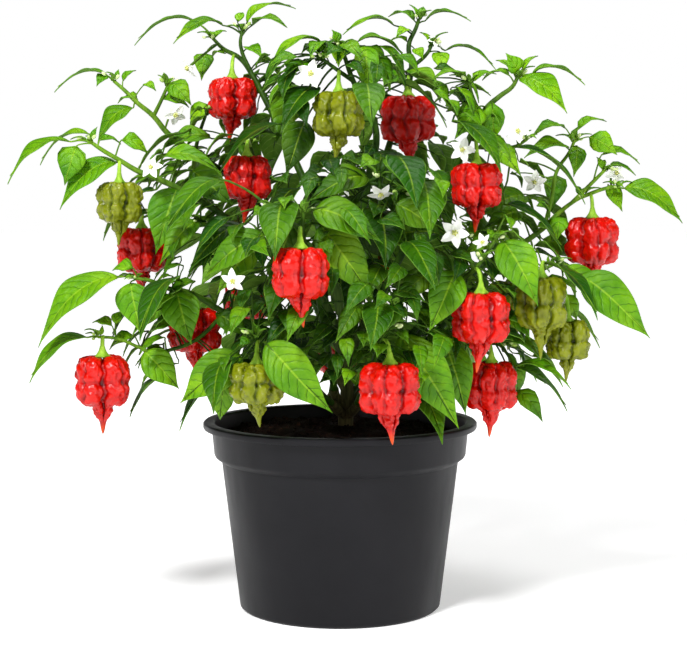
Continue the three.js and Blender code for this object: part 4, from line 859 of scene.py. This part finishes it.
def leaf_of(branch, order, row):
    """A leaf of a branch, moved along the line of sight to where the frame has it, or to where there is room."""
    base_across, base_up, tip_across, tip_up, width, tip_away, face = row
    seen = nearest_seen(branch, base_across, base_up, order, (tip_across - base_across, tip_up - base_up))
    facing = turned((0, -face, 0), (branch.turn[0], branch.turn[1], 1)) + UP * (1 - face)
    arch = ARCH - ARCH_LOST * face
    tries = [Leaf(
        branch.seen(seen), branch.seen((base_across, base_up, seen[2] + shift)),
        branch.seen((tip_across, tip_up, seen[2] + shift + tip_away)), width, facing, arch, dice.uniform(*AGES),
    ) for shift in SHIFTS]
    if tries[0].length < SMALLEST_IN_FRAME:
        roomy = [one for one in tries if room_round(one) > ROOM_FOR_SMALLER and not hides(one)]
        chosen = roomy[0] if roomy else tries[0]
        chosen.age_and_shade = 0.0
        return chosen
    return min(tries, key=lambda one: corners_of[branch.name].find(Vector(one.tip))[2])


def nearest_stem(point):
    """The branch whose wood is nearest to a point, and the nearest place on it."""
    best, best_gap = None, math.inf
    for branch in branches:
        for route in branch.routes:
            for start, end in zip(route, route[1:]):
                step = end - start
                share = min(max(np.dot(point - start, step) / np.dot(step, step), 0.04), 1)
                spot = start + step * share
                if np.linalg.norm(spot - point) < best_gap:
                    best, best_gap = (branch, spot), np.linalg.norm(spot - point)
    return best


def on_dome(dome, turn, bulge, out, up):
    """A point in the crown, out towards a dome and up."""
    return towards(turn) * (dome[0], dome[1], 0) * bulge * out + UP * up


def bulge_of(dome, up):
    """How wide a dome is at a height, as a share of its greatest width."""
    return math.sqrt(1 - ((up - INNER_MIDDLE) / dome[2]) ** 2)


def inner_leaves():
    """Leaves round the domes inside the crown, where the frame has them. Each hangs on the stem nearest to it."""
    found = []
    drawn = FIRST_DRAW
    for out, count in INNER_SHELLS:
        for k in range(count):
            turn = k * GOLDEN_TURN + out
            up = INNER_LOW + (INNER_HIGH - INNER_LOW) * (k + 0.5) / count
            bulge = bulge_of(INNER_DOME, up)
            drawn = drawn * DRAW_STEP % DRAW_TOP
            length = INNER_SHORTEST + (INNER_LONGEST - INNER_SHORTEST) * drawn / DRAW_TOP
            drawn = drawn * DRAW_STEP % DRAW_TOP
            sway = INNER_SWAY * (drawn / DRAW_TOP - 0.5)
            for inset, lift, swing in itertools.product(INNER_INSETS, INNER_LIFTS, INNER_SWINGS):
                base = on_dome(INNER_DOME, turn + swing, bulge, out + inset, up + lift)
                tip = base + towards(turn + swing + sway) * length * INNER_REACH - UP * length * INNER_DROP
                branch, root = nearest_stem(base)
                if corners_of[branch.name].find(Vector(tip))[2] < MATCH:
                    # Painted shade: the inner leaves get a high darkness.
                    facing, age_and_shade = towards(turn + swing, INNER_LOOK), dice.uniform(*INNER_AGES_AND_SHADE)
                    leaf = Leaf(root, base, tip, length * INNER_WIDTH, facing, INNER_ARCH, age_and_shade)
                    leaf.inner = True
                    found.append((branch, leaf))
                    break
    return found


def tip_leaves():
    """Tiny leaves just opening at the ends of the stems and twigs."""
    found = []
    for branch in branches:
        for route in branch.routes:
            heading = unit(route[-1] - route[-2])
            for k in range(LEAVES_PER_TIP):
                turn = 2 * math.pi * k / LEAVES_PER_TIP + dice.uniform(-0.5, 0.5)
                aside = towards(turn, dice.uniform(-0.1, 0.6))
                root, base = route[-1] - heading * TIP_LEAF_STALK, route[-1] + aside * TIP_LEAF_STALK
                way = unit(aside + heading * dice.uniform(0.3, 1))
                length = dice.uniform(*TIP_LEAF_LENGTHS)
                facing = UP - heading * 0.3
                leaf = Leaf(root, base, base + way * length, length * TIP_LEAF_WIDTH, facing, ARCH, 0)
                found.append((branch, leaf))
    return found


def small_leaves():
    """Smaller leaves, which fill the crown wherever there is room for them."""
    found, spots = [], []
    for _ in range(SMALL_LEAF_TRIES):
        turn, out, up = dice.uniform(0, 2 * math.pi), dice.uniform(0.2, 1) ** 0.6, dice.uniform(*SMALL_LEAF_UPS)
        base = on_dome(SMALL_LEAF_DOME, turn, bulge_of(SMALL_LEAF_DOME, up), out, up)
        length, sway = dice.uniform(*SMALL_LEAF_LENGTHS), dice.uniform(-0.9, 0.9)
        tip = base + towards(turn + sway) * length * dice.uniform(0.5, 0.9) - UP * length * dice.uniform(0.1, 0.8)
        branch, root = nearest_stem(base)
        # Painted shade: small leaves deeper in the crown are painted darker.
        age_and_shade = dice.uniform(*(DEEPER_AGES_AND_SHADE if out < OUTERMOST else OUTER_AGES))
        leaf = Leaf(root, base, tip, length * SMALL_LEAF_WIDTH, towards(turn, SMALL_LEAF_LOOK), SMALL_LEAF_ARCH, age_and_shade)
        stalk = np.linalg.norm(base - root)
        if stalk > SMALL_LEAF_STALK or room_round(leaf) < SMALL_LEAF_ROOM or hides(leaf):
            continue
        middle = leaf.middle(0.6)
        if any(np.linalg.norm(middle - other) < SMALL_LEAF_SPACING for other in spots):
            continue
        spots.append(middle)
        found.append((branch, leaf))
    return found


leaves_on = {branch.name: [] for branch in branches}
for branch in branches:
    for order, row in enumerate(LEAVES[branch.like]):
        leaves_on[branch.name].append(leaf_of(branch, order, row))
for branch, leaf in inner_leaves() + small_leaves() + tip_leaves():
    leaves_on[branch.name].append(leaf)


def mark(piece, name, rows):
    """Keeps three numbers at each corner of a mesh, for its material to read."""
    marks = piece.data.attributes.new(name, "FLOAT_VECTOR", "POINT")
    marks.data.foreach_set("vector", np.asarray(rows, float).ravel())


def make_blade(leaf):
    small = leaf.length < SMALL_LEAF_LENGTHS[1]
    flat_blade = small_blade if small else (inner_blade if leaf.inner else large_blade)
    piece = flat_blade.copy()
    piece.data = flat_blade.data.copy()
    bpy.context.collection.objects.link(piece)
    flat = points_of(piece)
    points, veins = leaf.lay(flat, dice.uniform(0, 6.28))
    piece.data.vertices.foreach_set("co", (points * MM).ravel())
    mark(piece, "veins", np.column_stack((veins, np.abs(flat[:, 1]), np.full(len(flat), leaf.age_and_shade))))
    return piece


def subdivide(piece, levels=1):
    finish_with(piece, "SUBSURF", levels=levels, render_levels=levels)


def make_leaves(branch, leaves):
    """A branch's blades, the large ones rounded off once more."""
    pieces = []
    for small in (False, True):
        chosen = [leaf for leaf in leaves if (leaf.length < SMALL_LEAF_LENGTHS[1]) == small]
        piece = join_as("leaves", [make_blade(leaf) for leaf in chosen])
        piece.data.materials.append(leaf_upper)
        piece.data.materials.append(leaf_under)
        finish_with(piece, "SOLIDIFY", thickness=LEAF_THICKNESS, offset=-1, material_offset=1, material_offset_rim=1)
        if not small:
            subdivide(piece)
        pieces.append(piece)
    piece = join_as("leaves_" + branch.name, pieces)
    bpy.ops.object.shade_smooth()
    return piece


def bend(start, middle, end, steps):
    """The points of a bow from start to end, drawn towards the middle one."""
    shares = np.linspace(0, 1, steps + 1)
    return [start * (1 - s) ** 2 + middle * 2 * s * (1 - s) + end * s * s for s in shares]


def make_stalks(branch, leaves):
    """Each leaf's stalk, which runs on under the blade as its midrib."""
    runs = []
    for leaf in leaves:
        middle = (leaf.root + leaf.base) / 2 + UP * 0.15 * np.linalg.norm(leaf.base - leaf.root)
        shares = (0.12, 0.5, 0.9) if leaf.length < SMALL_LEAF_LENGTHS[1] else (0.12, 0.3, 0.5, 0.7, 0.9)
        rib = [leaf.middle(share, -RIB_DEPTH) for share in shares]
        radius = STALK_RADIUS + STALK_GAIN * leaf.length
        runs.append((bend(leaf.root, middle, leaf.base - leaf.normal * 0.4, 3) + rib, radius, RIB_TIP_RADIUS))
    return round_wood("leaf_stalks_" + branch.name, runs, 1, 2)


def marks_of(material, name):
    """A pattern that is kept at the corners of the mesh, as the outputs X, Y and Z."""
    marks = node(material, "Attribute", attribute_name=name).outputs["Vector"]
    return node(material, "SeparateXYZ", {0: marks}).outputs


def times(material, one, other):
    return node(material, "Math", {0: one, 1: other}, operation="MULTIPLY").outputs[0]


def between_veins(material, marks):
    """0 on a side vein and 0.5 halfway to the next. The veins wander a little."""
    wander = ramped(material, cloudy(110)(material), 0.3, 0.7, -VEIN_WANDER, VEIN_WANDER)
    along = node(material, "Math", {0: marks["X"], 1: wander}, operation="ADD").outputs[0]
    return node(material, "Math", {0: along, 1: 0.5}, operation="PINGPONG").outputs[0]


def side_vein(material, marks, width):
    """1 on a side vein, 0 beyond its width, faint at the leaf's edge and here and there along it."""
    line = ramped(material, between_veins(material, marks), 0.0, width, 1.0, 0.0)
    inward = ramped(material, marks["Y"], 0.5, 0.95, 1.0, 0.0)
    broken = ramped(material, cloudy(160)(material), 0.34, 0.56, 0.3, 1.0)
    return times(material, times(material, line, inward), broken)


def leaf_tint(material):
    """Yellowish green when young and dark green when older, with painted shade towards the crown's middle and in the
    sunken side veins, and a pale midrib.
    """
    marks = marks_of(material, "veins")
    patches = cloudy(34, 4, 0.6)(material)
    young = shades(material, patches, [
        (0.32, colour(62, 122, 5)), (0.5, colour(98, 154, 8)), (0.68, colour(134, 182, 14))])
    old_and_shaded = shades(material, patches, [(0.32, colour(8, 44, 2)), (0.68, colour(40, 94, 4))])
    # Darker with the leaf's darkness value, for older leaves and for painted shade.
    aged_and_shaded = over(material, marks["Z"], young, old_and_shaded)
    outward = node(material, "VectorMath", {
        0: spots_of(material), 1: CROWN_MIDDLE}, operation="DISTANCE").outputs["Value"]
    # Painted shade: nearly black green towards the crown's middle.
    ground = over(material, ramped(material, outward, *PAINTED_SHADE_WITHIN, 0.85, 0.0), aged_and_shaded, colour(4, 26, 1))
    # Painted shade in the sunken side veins.
    vein_shaded = over(material, times(material, side_vein(material, marks, 0.07), 0.8), ground, colour(24, 76, 3))
    midrib = ramped(material, marks["Y"], 0.02, 0.07, 0.3, 0.0)
    return over(material, midrib, vein_shaded, colour(168, 200, 50))


def leaf_quilt(material):
    puffed = shades(material, between_veins(material, marks_of(material, "veins")), [
        (0.0, grey(0)), (0.06, grey(0.35)), (0.2, grey(0.8)), (0.5, grey(1))])
    return over(material, 0.6, puffed, cloudy(300, 4, 0.6)(material))


def under_tint(material):
    marks = marks_of(material, "veins")
    ground = mottled([(0.3, colour(72, 118, 26)), (0.7, colour(112, 154, 52))], 55, 3)(material)
    return over(material, times(material, side_vein(material, marks, 0.12), 0.6), ground, colour(150, 186, 84))


leaf_roughness = mottled([(0.3, grey(0.34)), (0.7, grey(0.48))], 130, 3)
leaf_upper = finish_of("leaf_upper_face", leaf_tint, leaf_roughness, leaf_quilt, 1.4 * MM, shine=0.16)
leaf_under = finish_of("leaf_underside", under_tint, bark_roughness, leaf_quilt, 0.6 * MM, shine=0.06)
for branch in branches:
    leaves = leaves_on[branch.name]
    belongs(make_stalks(branch, leaves), green_stem, "foliage")
    belongs(make_leaves(branch, leaves), None, "foliage", "branch_" + branch.name)
for spare in (large_blade, inner_blade, small_blade):
    bpy.data.objects.remove(spare)

# ---------------------------------------------------------------------------------------------------- the pods
# Squat hanging fruit with a glossy wrinkled skin, four deep lobes that bulge over a narrower foot, and a thin
# pointed tail. Each hangs on a green stalk that ends in a small cap. They ripen from olive green to bright red.

STALK_RISE = 15
POD_LOBES = 4
POD_SIDES = 32

# Down the pod: its radius and height at the crest of a lobe, then in a groove, as shares of half its width and of
# its length.
POD_RINGS = [
    (0.20, -0.045, 0.20, -0.045), (0.44, -0.005, 0.36, -0.045), (0.66, -0.005, 0.53, -0.05),
    (0.86, -0.04, 0.68, -0.08), (0.99, -0.11, 0.78, -0.14), (1.06, -0.19, 0.83, -0.22),
    (1.02, -0.28, 0.80, -0.30), (1.05, -0.38, 0.81, -0.38), (1.06, -0.47, 0.77, -0.46), (0.98, -0.56, 0.64, -0.53),
    (0.68, -0.62, 0.46, -0.585), (0.37, -0.62, 0.34, -0.61), (0.35, -0.67, 0.30, -0.67), (0.31, -0.72, 0.25, -0.72),
    (0.20, -0.775, 0.17, -0.775), (0.13, -0.82, 0.125, -0.82), (0.095, -0.88, 0.095, -0.88),
    (0.06, -0.95, 0.06, -0.95),
]
TAIL_FROM, TAIL_LEAN = 0.66, 3

# Creases in the skin, each (depth in mm, how wide): between the lobes, down the middle of each lobe, round the waist,
# and where the body ends. Then how far down those two lie, and the sizes of the bulges between the creases.
BETWEEN_LOBES, DOWN_LOBES, WAIST, FOOT = (2.1, 0.07), (2.0, 0.03), (1.3, 0.035), (0.7, 0.02)
WAIST_DOWN, WAIST_SWAY, FOOT_DOWN = 0.32, 0.05, 0.62
WRINKLED_TO, LOBED_TO, LOBE_SWAY = 0.86, 0.6, 0.16
LUMP, PIMPLE, LUMP_RISE, PIMPLE_RISE, SUNK = 6.2, 2.7, 1.3, 0.9, 0.8

# The cap: a share of its radius and a height in mm for each ring, from its rim to where it joins the stalk.
CAP_RINGS = [(0.9, -1.2), (1.08, -0.5), (0.84, 0.9), (0.55, 2.6), (0.4, 4.8)]
CAP_SHARE, CAP_TEETH, CAP_TOP = 0.27, 5, (1.5 * MM, 7.5 * MM)


def crease(away, depth, width):
    return depth * math.exp(-(away / width) ** 2)


def wrinkled(spot, size):
    """Rounded bulges of about the size given, between sharp creases: 0 in a crease."""
    return min(1.0, abs(noise.noise(spot / size)) * 2.4)


def make_pod(name, top, width, length, turn):
    """A ball whose rings are drawn to the pod's outline, smoothed, and then creased and wrinkled all over."""
    deselect_all()
    bpy.ops.mesh.primitive_uv_sphere_add(segments=POD_SIDES, ring_count=len(POD_RINGS) + 1, radius=1)
    pod = named(name)
    for vertex in pod.data.vertices:
        ring = round(math.acos(max(-1, min(1, vertex.co.z))) / math.pi * (len(POD_RINGS) + 1)) - 1
        angle = math.atan2(vertex.co.y, vertex.co.x)
        if ring < 0 or ring == len(POD_RINGS):
            radius, height = 0, (-0.05 if ring < 0 else -1)
        else:
            groove = (0.5 + 0.5 * math.cos(POD_LOBES * angle)) ** 3
            crest_radius, crest_height, groove_radius, groove_height = POD_RINGS[ring]
            radius = crest_radius + (groove_radius - crest_radius) * groove
            height = crest_height + (groove_height - crest_height) * groove
        lean = TAIL_LEAN * MM * max(0, -height - TAIL_FROM) / (1 - TAIL_FROM)
        reach = width / 2 * MM * radius
        vertex.co = Vector((
            top[0] * MM + reach * math.cos(angle + turn) + lean * math.cos(turn * 9),
            top[1] * MM + reach * math.sin(angle + turn) + lean * math.sin(turn * 9),
            top[2] * MM + length * MM * height,
        ))
    subdivide(pod, 2)
    wrinkle_skin(pod, top, length, turn)
    bpy.ops.object.shade_smooth()
    return pod


def wrinkle_skin(pod, top, length, turn):
    """Moves the skin in along its creases and out between them, and keeps how far out it is and how far down."""
    rows = []
    normals = [item.vector.copy() for item in pod.data.vertex_normals]
    for vertex, normal in zip(pod.data.vertices, normals):
        spot = vertex.co / MM
        down = (top[2] - spot.z) / length
        angle = math.atan2(spot.y - top[1], spot.x - top[0]) - turn
        angle += LOBE_SWAY * noise.noise(Vector((spot.z / 7, turn * 5, angle * 0.5)))
        on_body = max(0.0, min(1.0, (WRINKLED_TO - down) * 8)) * max(0.0, min(1.0, down * 14 + 0.4))
        tall = max(0.0, min(1.0, (LOBED_TO - down) * 14))
        swing = math.cos(POD_LOBES * angle)
        waist = WAIST_DOWN + WAIST_SWAY * noise.noise(Vector((angle * 1.3, turn * 7, 0)))
        folds = crease(1 - swing, *BETWEEN_LOBES) + crease(1 + swing, *DOWN_LOBES) * tall
        folds += crease(down - waist, *WAIST) * tall + crease(down - FOOT_DOWN, *FOOT)
        lumps = wrinkled(Vector((spot.x, spot.y, spot.z * 0.8)), LUMP)
        pimples = wrinkled(spot + Vector((40, 0, 0)), PIMPLE)
        out = LUMP_RISE * lumps + PIMPLE_RISE * pimples - SUNK - folds
        vertex.co += normal * out * on_body * MM
        # How far out the skin stands is kept for painted shade in its creases and painted light on its lumps.
        rows.append((0.62 + 0.25 * out, down, on_body))
    mark(pod, "skin", rows)


def make_pod_stalk(name, top, root, width):
    """The stalk, arched over to the pod, and the cap that it widens into."""
    stalk = round_wood(name + "_stalk", [(bend(root, top + UP * STALK_RISE, top + UP * 1.5, 5), 1.1, 1.5)], 3)
    radius = width / 2 * CAP_SHARE * MM
    cap = turned_shell(name + "_cap", [(radius * share, up * MM) for share, up in CAP_RINGS] + [CAP_TOP], 20)
    for vertex in cap.data.vertices:
        angle = math.atan2(vertex.co.y, vertex.co.x)
        if vertex.co.z < 0:
            vertex.co.xy *= 1 + 0.16 * math.cos(CAP_TEETH * angle)
    cap.data.transform(Matrix.Translation(Vector(top * MM)))
    subdivide(cap)
    bpy.ops.object.shade_smooth()
    return join_as(name + "_stalk", [stalk, cap])


def pod_tint(deep, bright, lit, tail):
    """A skin colour for pods: painted shade deep in the creases, painted light on the lumps, and its own tint at the
    tail's end.
    """
    def tint(material):
        marks = marks_of(material, "skin")
        bulge = over(material, 0.3, marks["X"], cloudy(90, 4, 0.6)(material))
        # Painted shade in the creases and painted light on the lumps, from how far out the skin stands.
        skin = shades(material, bulge, [(0.05, deep), (0.34, bright), (0.7, lit)])
        return over(material, ramped(material, marks["Y"], 0.8, 0.97, 0.0, 0.85), skin, tail)
    return tint


def skin_pimples(material):
    pimples = node(material, "TexVoronoi", {
        "Vector": spots_of(material), "Scale": 400}, feature="SMOOTH_F1").outputs[0]
    return over(material, 0.6, pimples, cloudy(420, 5, 0.65)(material))


stalk_tint = mottled([(0.3, colour(110, 158, 30)), (0.7, colour(160, 200, 66))], 420, 3, stretch=(1, 1, 0.2))
stalk_green = finish_of("pod_stalk", stalk_tint, stem_roughness, stem_ridges, 0.3 * MM, shine=0.12)
skin_roughness = mottled([(0.3, grey(0.12)), (0.7, grey(0.26))], 260, 3)
# Each skin runs from painted shade in its creases through its own colour to painted light on its lumps, with its own
# tint at the tail.
POD_SKIN = {
    RIPE: finish_of(
        "ripe_skin", pod_tint(colour(90, 0, 0), colour(166, 2, 1), colour(200, 14, 2), colour(204, 78, 18)),
        skin_roughness, skin_pimples, 0.6 * MM, shine=0.32),
    GREEN: finish_of(
        "unripe_skin", pod_tint(colour(44, 54, 2), colour(88, 100, 6), colour(120, 128, 16), colour(112, 122, 22)),
        skin_roughness, skin_pimples, 0.6 * MM, shine=0.26),
}


def numbered(kind, branch, rows):
    """Each of a branch's rows, with its number and the name of its piece."""
    for i, row in enumerate(rows):
        yield i, kind + "_" + branch.name + (f"_{i + 1}" if len(rows) > 1 else ""), row


for branch in branches:
    for i, name, row in numbered("pod", branch, PODS.get(branch.like, [])):
        across, up, away, width, length, turn, ripeness = row
        slot = BACK_PODS.get(branch.name, ripeness)
        top = branch.seen((across, up, away))
        root = branch.seen(nearest_seen(branch, across, up + STALK_RISE, i))
        belongs(make_pod(name + "_skin", top, width, length, turn), POD_SKIN[slot], slot, name)
        belongs(make_pod_stalk(name, top, root, width), stalk_green, "foliage")

# ------------------------------------------------------------------------------------------------- the flowers
# Small white flowers, open on thin drooping stalks: five pointed petals joined at their feet, their tips turned
# back, round a green heart with a ring of pale anthers.

BACK_FLOWERS = ["back_centre", "back_upper"]
UP_AXIS = Vector((0, 0, 1))
PETALS = 5
PETAL_DROOP = 1.2
PETAL_HALF = 0.15  # half of a petal's greatest width, as a share of the flower's width
PETAL_THICKNESS = 0.35 * MM
ANTHERS, ANTHER_RING, ANTHER_TURN = 5, 1.7, 1.257


def make_petals(name, heart, facing, width):
    """One petal, shaped from a grid, then copied round the heart."""
    petals = []
    pose = UP_AXIS.rotation_difference(Vector(facing))
    for i in range(PETALS):
        turn = 2 * math.pi * i / PETALS
        deselect_all()
        bpy.ops.mesh.primitive_grid_add(x_subdivisions=8, y_subdivisions=4, size=2)
        petal = bpy.context.object
        for vertex in petal.data.vertices:
            share = 0.1 + 0.9 * (vertex.co.x + 1) / 2
            half = PETAL_HALF * math.sin(math.pi * (share * 0.9 + 0.1) ** 0.9) ** 0.9 + 0.004
            reach, side = width / 2 * share, width * half * vertex.co.y
            sag = -PETAL_DROOP * share * share + 0.9 * half * width * vertex.co.y ** 2 * 0.35
            spin = Quaternion((0, 0, 1), turn)
            vertex.co = (Vector(heart) + pose @ (spin @ Vector((reach, side, sag + 0.2 * math.sin(3 * i))))) * MM
        petals.append(petal)
    piece = join_as(name + "_petals", petals)
    finish_with(piece, "SOLIDIFY", thickness=PETAL_THICKNESS, offset=-1)
    subdivide(piece)
    bpy.ops.object.shade_smooth()
    return piece


def make_heart(name, heart, facing, width):
    """The green heart and its ring of anthers, each a short standing grain."""
    parts = []
    pose = UP_AXIS.rotation_difference(Vector(facing))
    size = width / 20
    grains = [((0, 0, 0.8), (1.5, 1.5, 1.3)), ((0, 0, 2.2), (0.45, 0.45, 1.6))]
    for k in range(ANTHERS):
        around = towards(k * ANTHER_TURN) * ANTHER_RING
        grains.append(((around[0], around[1], 1.6), (0.5, 0.5, 1.15)))
    for spot, scale in grains:
        place = (Vector(heart) + pose @ (Vector(spot) * size)) * MM
        parts.append(grain(size * MM, place, pose.to_euler(), scale))
    piece = join_as(name + "_heart", parts)
    settle(piece)
    bpy.ops.object.shade_smooth()
    return piece


petal_roughness = mottled([(0, grey(0.5)), (1, grey(0.65))], 400)
white_petal = finish_of(
    "white_petal", mottled([(0.3, colour(232, 236, 224)), (0.7, colour(252, 252, 248))], 240, 3), petal_roughness,
    cloudy(1500, 3, stretch=(1, 1, 0.4)), 0.2 * MM, shine=0.2)
flower_heart = finish_of(
    "flower_heart", mottled([(0.35, colour(176, 190, 70)), (0.65, colour(226, 222, 150))], 900), petal_roughness,
    shine=0.15)
for branch in branches:
    bare = branch.name in BACK_STEMS and branch.name not in BACK_FLOWERS
    for i, name, row in numbered("flower", branch, [] if bare else FLOWERS.get(branch.like, [])):
        across, up, away, look, width = row
        heart = branch.seen((across, up, away))
        facing = unit(turned(look, (branch.turn[0], branch.turn[1], 1)))
        root = branch.seen(nearest_seen(branch, across, up, i + 2))
        belongs(make_petals(name, heart, facing, width), white_petal, "petal", name)
        belongs(make_heart(name, heart, facing, width), flower_heart, "petal")
        back = heart - facing * 1.2
        stalk = round_wood(name + "_stalk", [(bend(root, back - facing * 9 + UP * 3, back, 4), 0.7, 1.1)], 2)
        belongs(stalk, green_stem, "foliage")

# ---------------------------------------------------------------------------------------------------- the buds
# Flower buds at the ends of the twigs: pale green grains on thin bent stalks, two or three together, with a few
# closed white ones.

BUDS_PER_TIP = 3
BUD_SIZES, BUD_STRETCH = (0.9, 1.5), 1.7


def make_buds(branch):
    """The buds at the ends of a branch's stem and twigs, and their stalks."""
    runs, grains = [], []
    for route in branch.routes:
        tip, heading = route[-1], unit(route[-1] - route[-2])
        for k in range(BUDS_PER_TIP):
            turn = dice.uniform(0, 6.28)
            aside = towards(turn, dice.uniform(-0.2, 0.5))
            end = tip + (heading * 0.5 + aside) * dice.uniform(3.5, 7)
            runs.append((bend(tip - heading, tip + heading * 3, end, 3), 0.55, 0.6))
            pose = UP_AXIS.rotation_difference(Vector(end - tip))
            grains.append(grain(dice.uniform(*BUD_SIZES) * MM, end * MM, pose.to_euler(), (1, 1, BUD_STRETCH)))
    buds = join_as("buds_" + branch.name, grains)
    settle(buds)
    bpy.ops.object.shade_smooth()
    return buds, round_wood("bud_stalks_" + branch.name, runs, 1, 2)


bud_green = finish_of(
    "bud_green", mottled([(0.35, colour(150, 186, 74)), (0.65, colour(222, 230, 180))], 110), petal_roughness,
    shine=0.15)
for branch in branches:
    buds, stalks = make_buds(branch)
    belongs(buds, bud_green, "foliage")
    belongs(stalks, green_stem, "foliage")

# ------------------------------------------------------------------------------------ the floor, light and camera
# A plain pale floor, a large soft light from the upper left, a weaker one from the right, and even light all round.

FLOOR_SIZE = 30
PITCH = 4.52  # degrees that the camera looks down
FOCAL_PIXELS, IMAGE_WIDTH, SENSOR = 1620, 687, 36

# How high the surround starts and ends to dim, and its strength above that. The floor glows, least under the pot.
DIM_FROM_TO, OVERHEAD = (0.15, 0.24), 0.06
GLOW_FROM, GLOW_TO, GLOW_NEAR, GLOW_FAR = 0.15, 1.2, 0.42, 0.9

deselect_all()
bpy.ops.mesh.primitive_plane_add(size=FLOOR_SIZE)
floor = bpy.context.object
floor.name = "floor"
pale_floor = finish_of(
    "pale_floor", mottled([(0, grey(0.9)), (1, grey(0.93))], 3), mottled([(0, grey(0.5)), (1, grey(0.55))], 8))
away = node(pale_floor, "VectorMath", {0: spots_of(pale_floor)}, operation="LENGTH").outputs["Value"]
glow = ramped(pale_floor, away, GLOW_FROM, GLOW_TO, GLOW_NEAR, GLOW_FAR)
floor_shader = pale_floor.node_tree.nodes["Principled BSDF"].inputs
floor_shader["Emission Color"].default_value = grey(1)
pale_floor.node_tree.links.new(glow, floor_shader["Emission Strength"])
floor.data.materials.append(pale_floor)

world = bpy.data.worlds.new("studio")
world.use_nodes = True
sky = world.node_tree.nodes["Background"].inputs
ways = world.node_tree.nodes.new("ShaderNodeTexCoord").outputs["Generated"]
upward = node(world, "SeparateXYZ", {0: ways}).outputs["Z"]
sky["Color"].default_value = (1, 1, 1, 1)
world.node_tree.links.new(ramped(world, upward, *DIM_FROM_TO, 1.0, OVERHEAD), sky["Strength"])
bpy.context.scene.world = world
bpy.context.scene.view_settings.view_transform = "Standard"


def soft_light(name, place, aim, size, power):
    bpy.ops.object.light_add(type="AREA", location=place)
    lamp = bpy.context.object
    lamp.name = name
    lamp.data.size = size
    lamp.data.energy = power
    lamp.rotation_euler = (Vector(aim) - Vector(place)).to_track_quat("-Z", "Y").to_euler()


crown = (0, 0, 0.25)
soft_light("key_light", (-0.6, -1.3, 1.5), crown, 0.32, 42)
soft_light("fill_light", (1.3, -1.2, 0.8), crown, 0.6, 12)
soft_light("top_light", (0.1, 0.2, 1.6), crown, 0.6, 10)

bpy.ops.object.camera_add(location=EYE * MM, rotation=(math.radians(90 - PITCH), 0, 0))
camera = bpy.context.object
camera.name = "camera"
camera.data.sensor_width = SENSOR
camera.data.lens = FOCAL_PIXELS / IMAGE_WIDTH * SENSOR
camera.data.clip_start = 0.05
bpy.context.scene.camera = camera
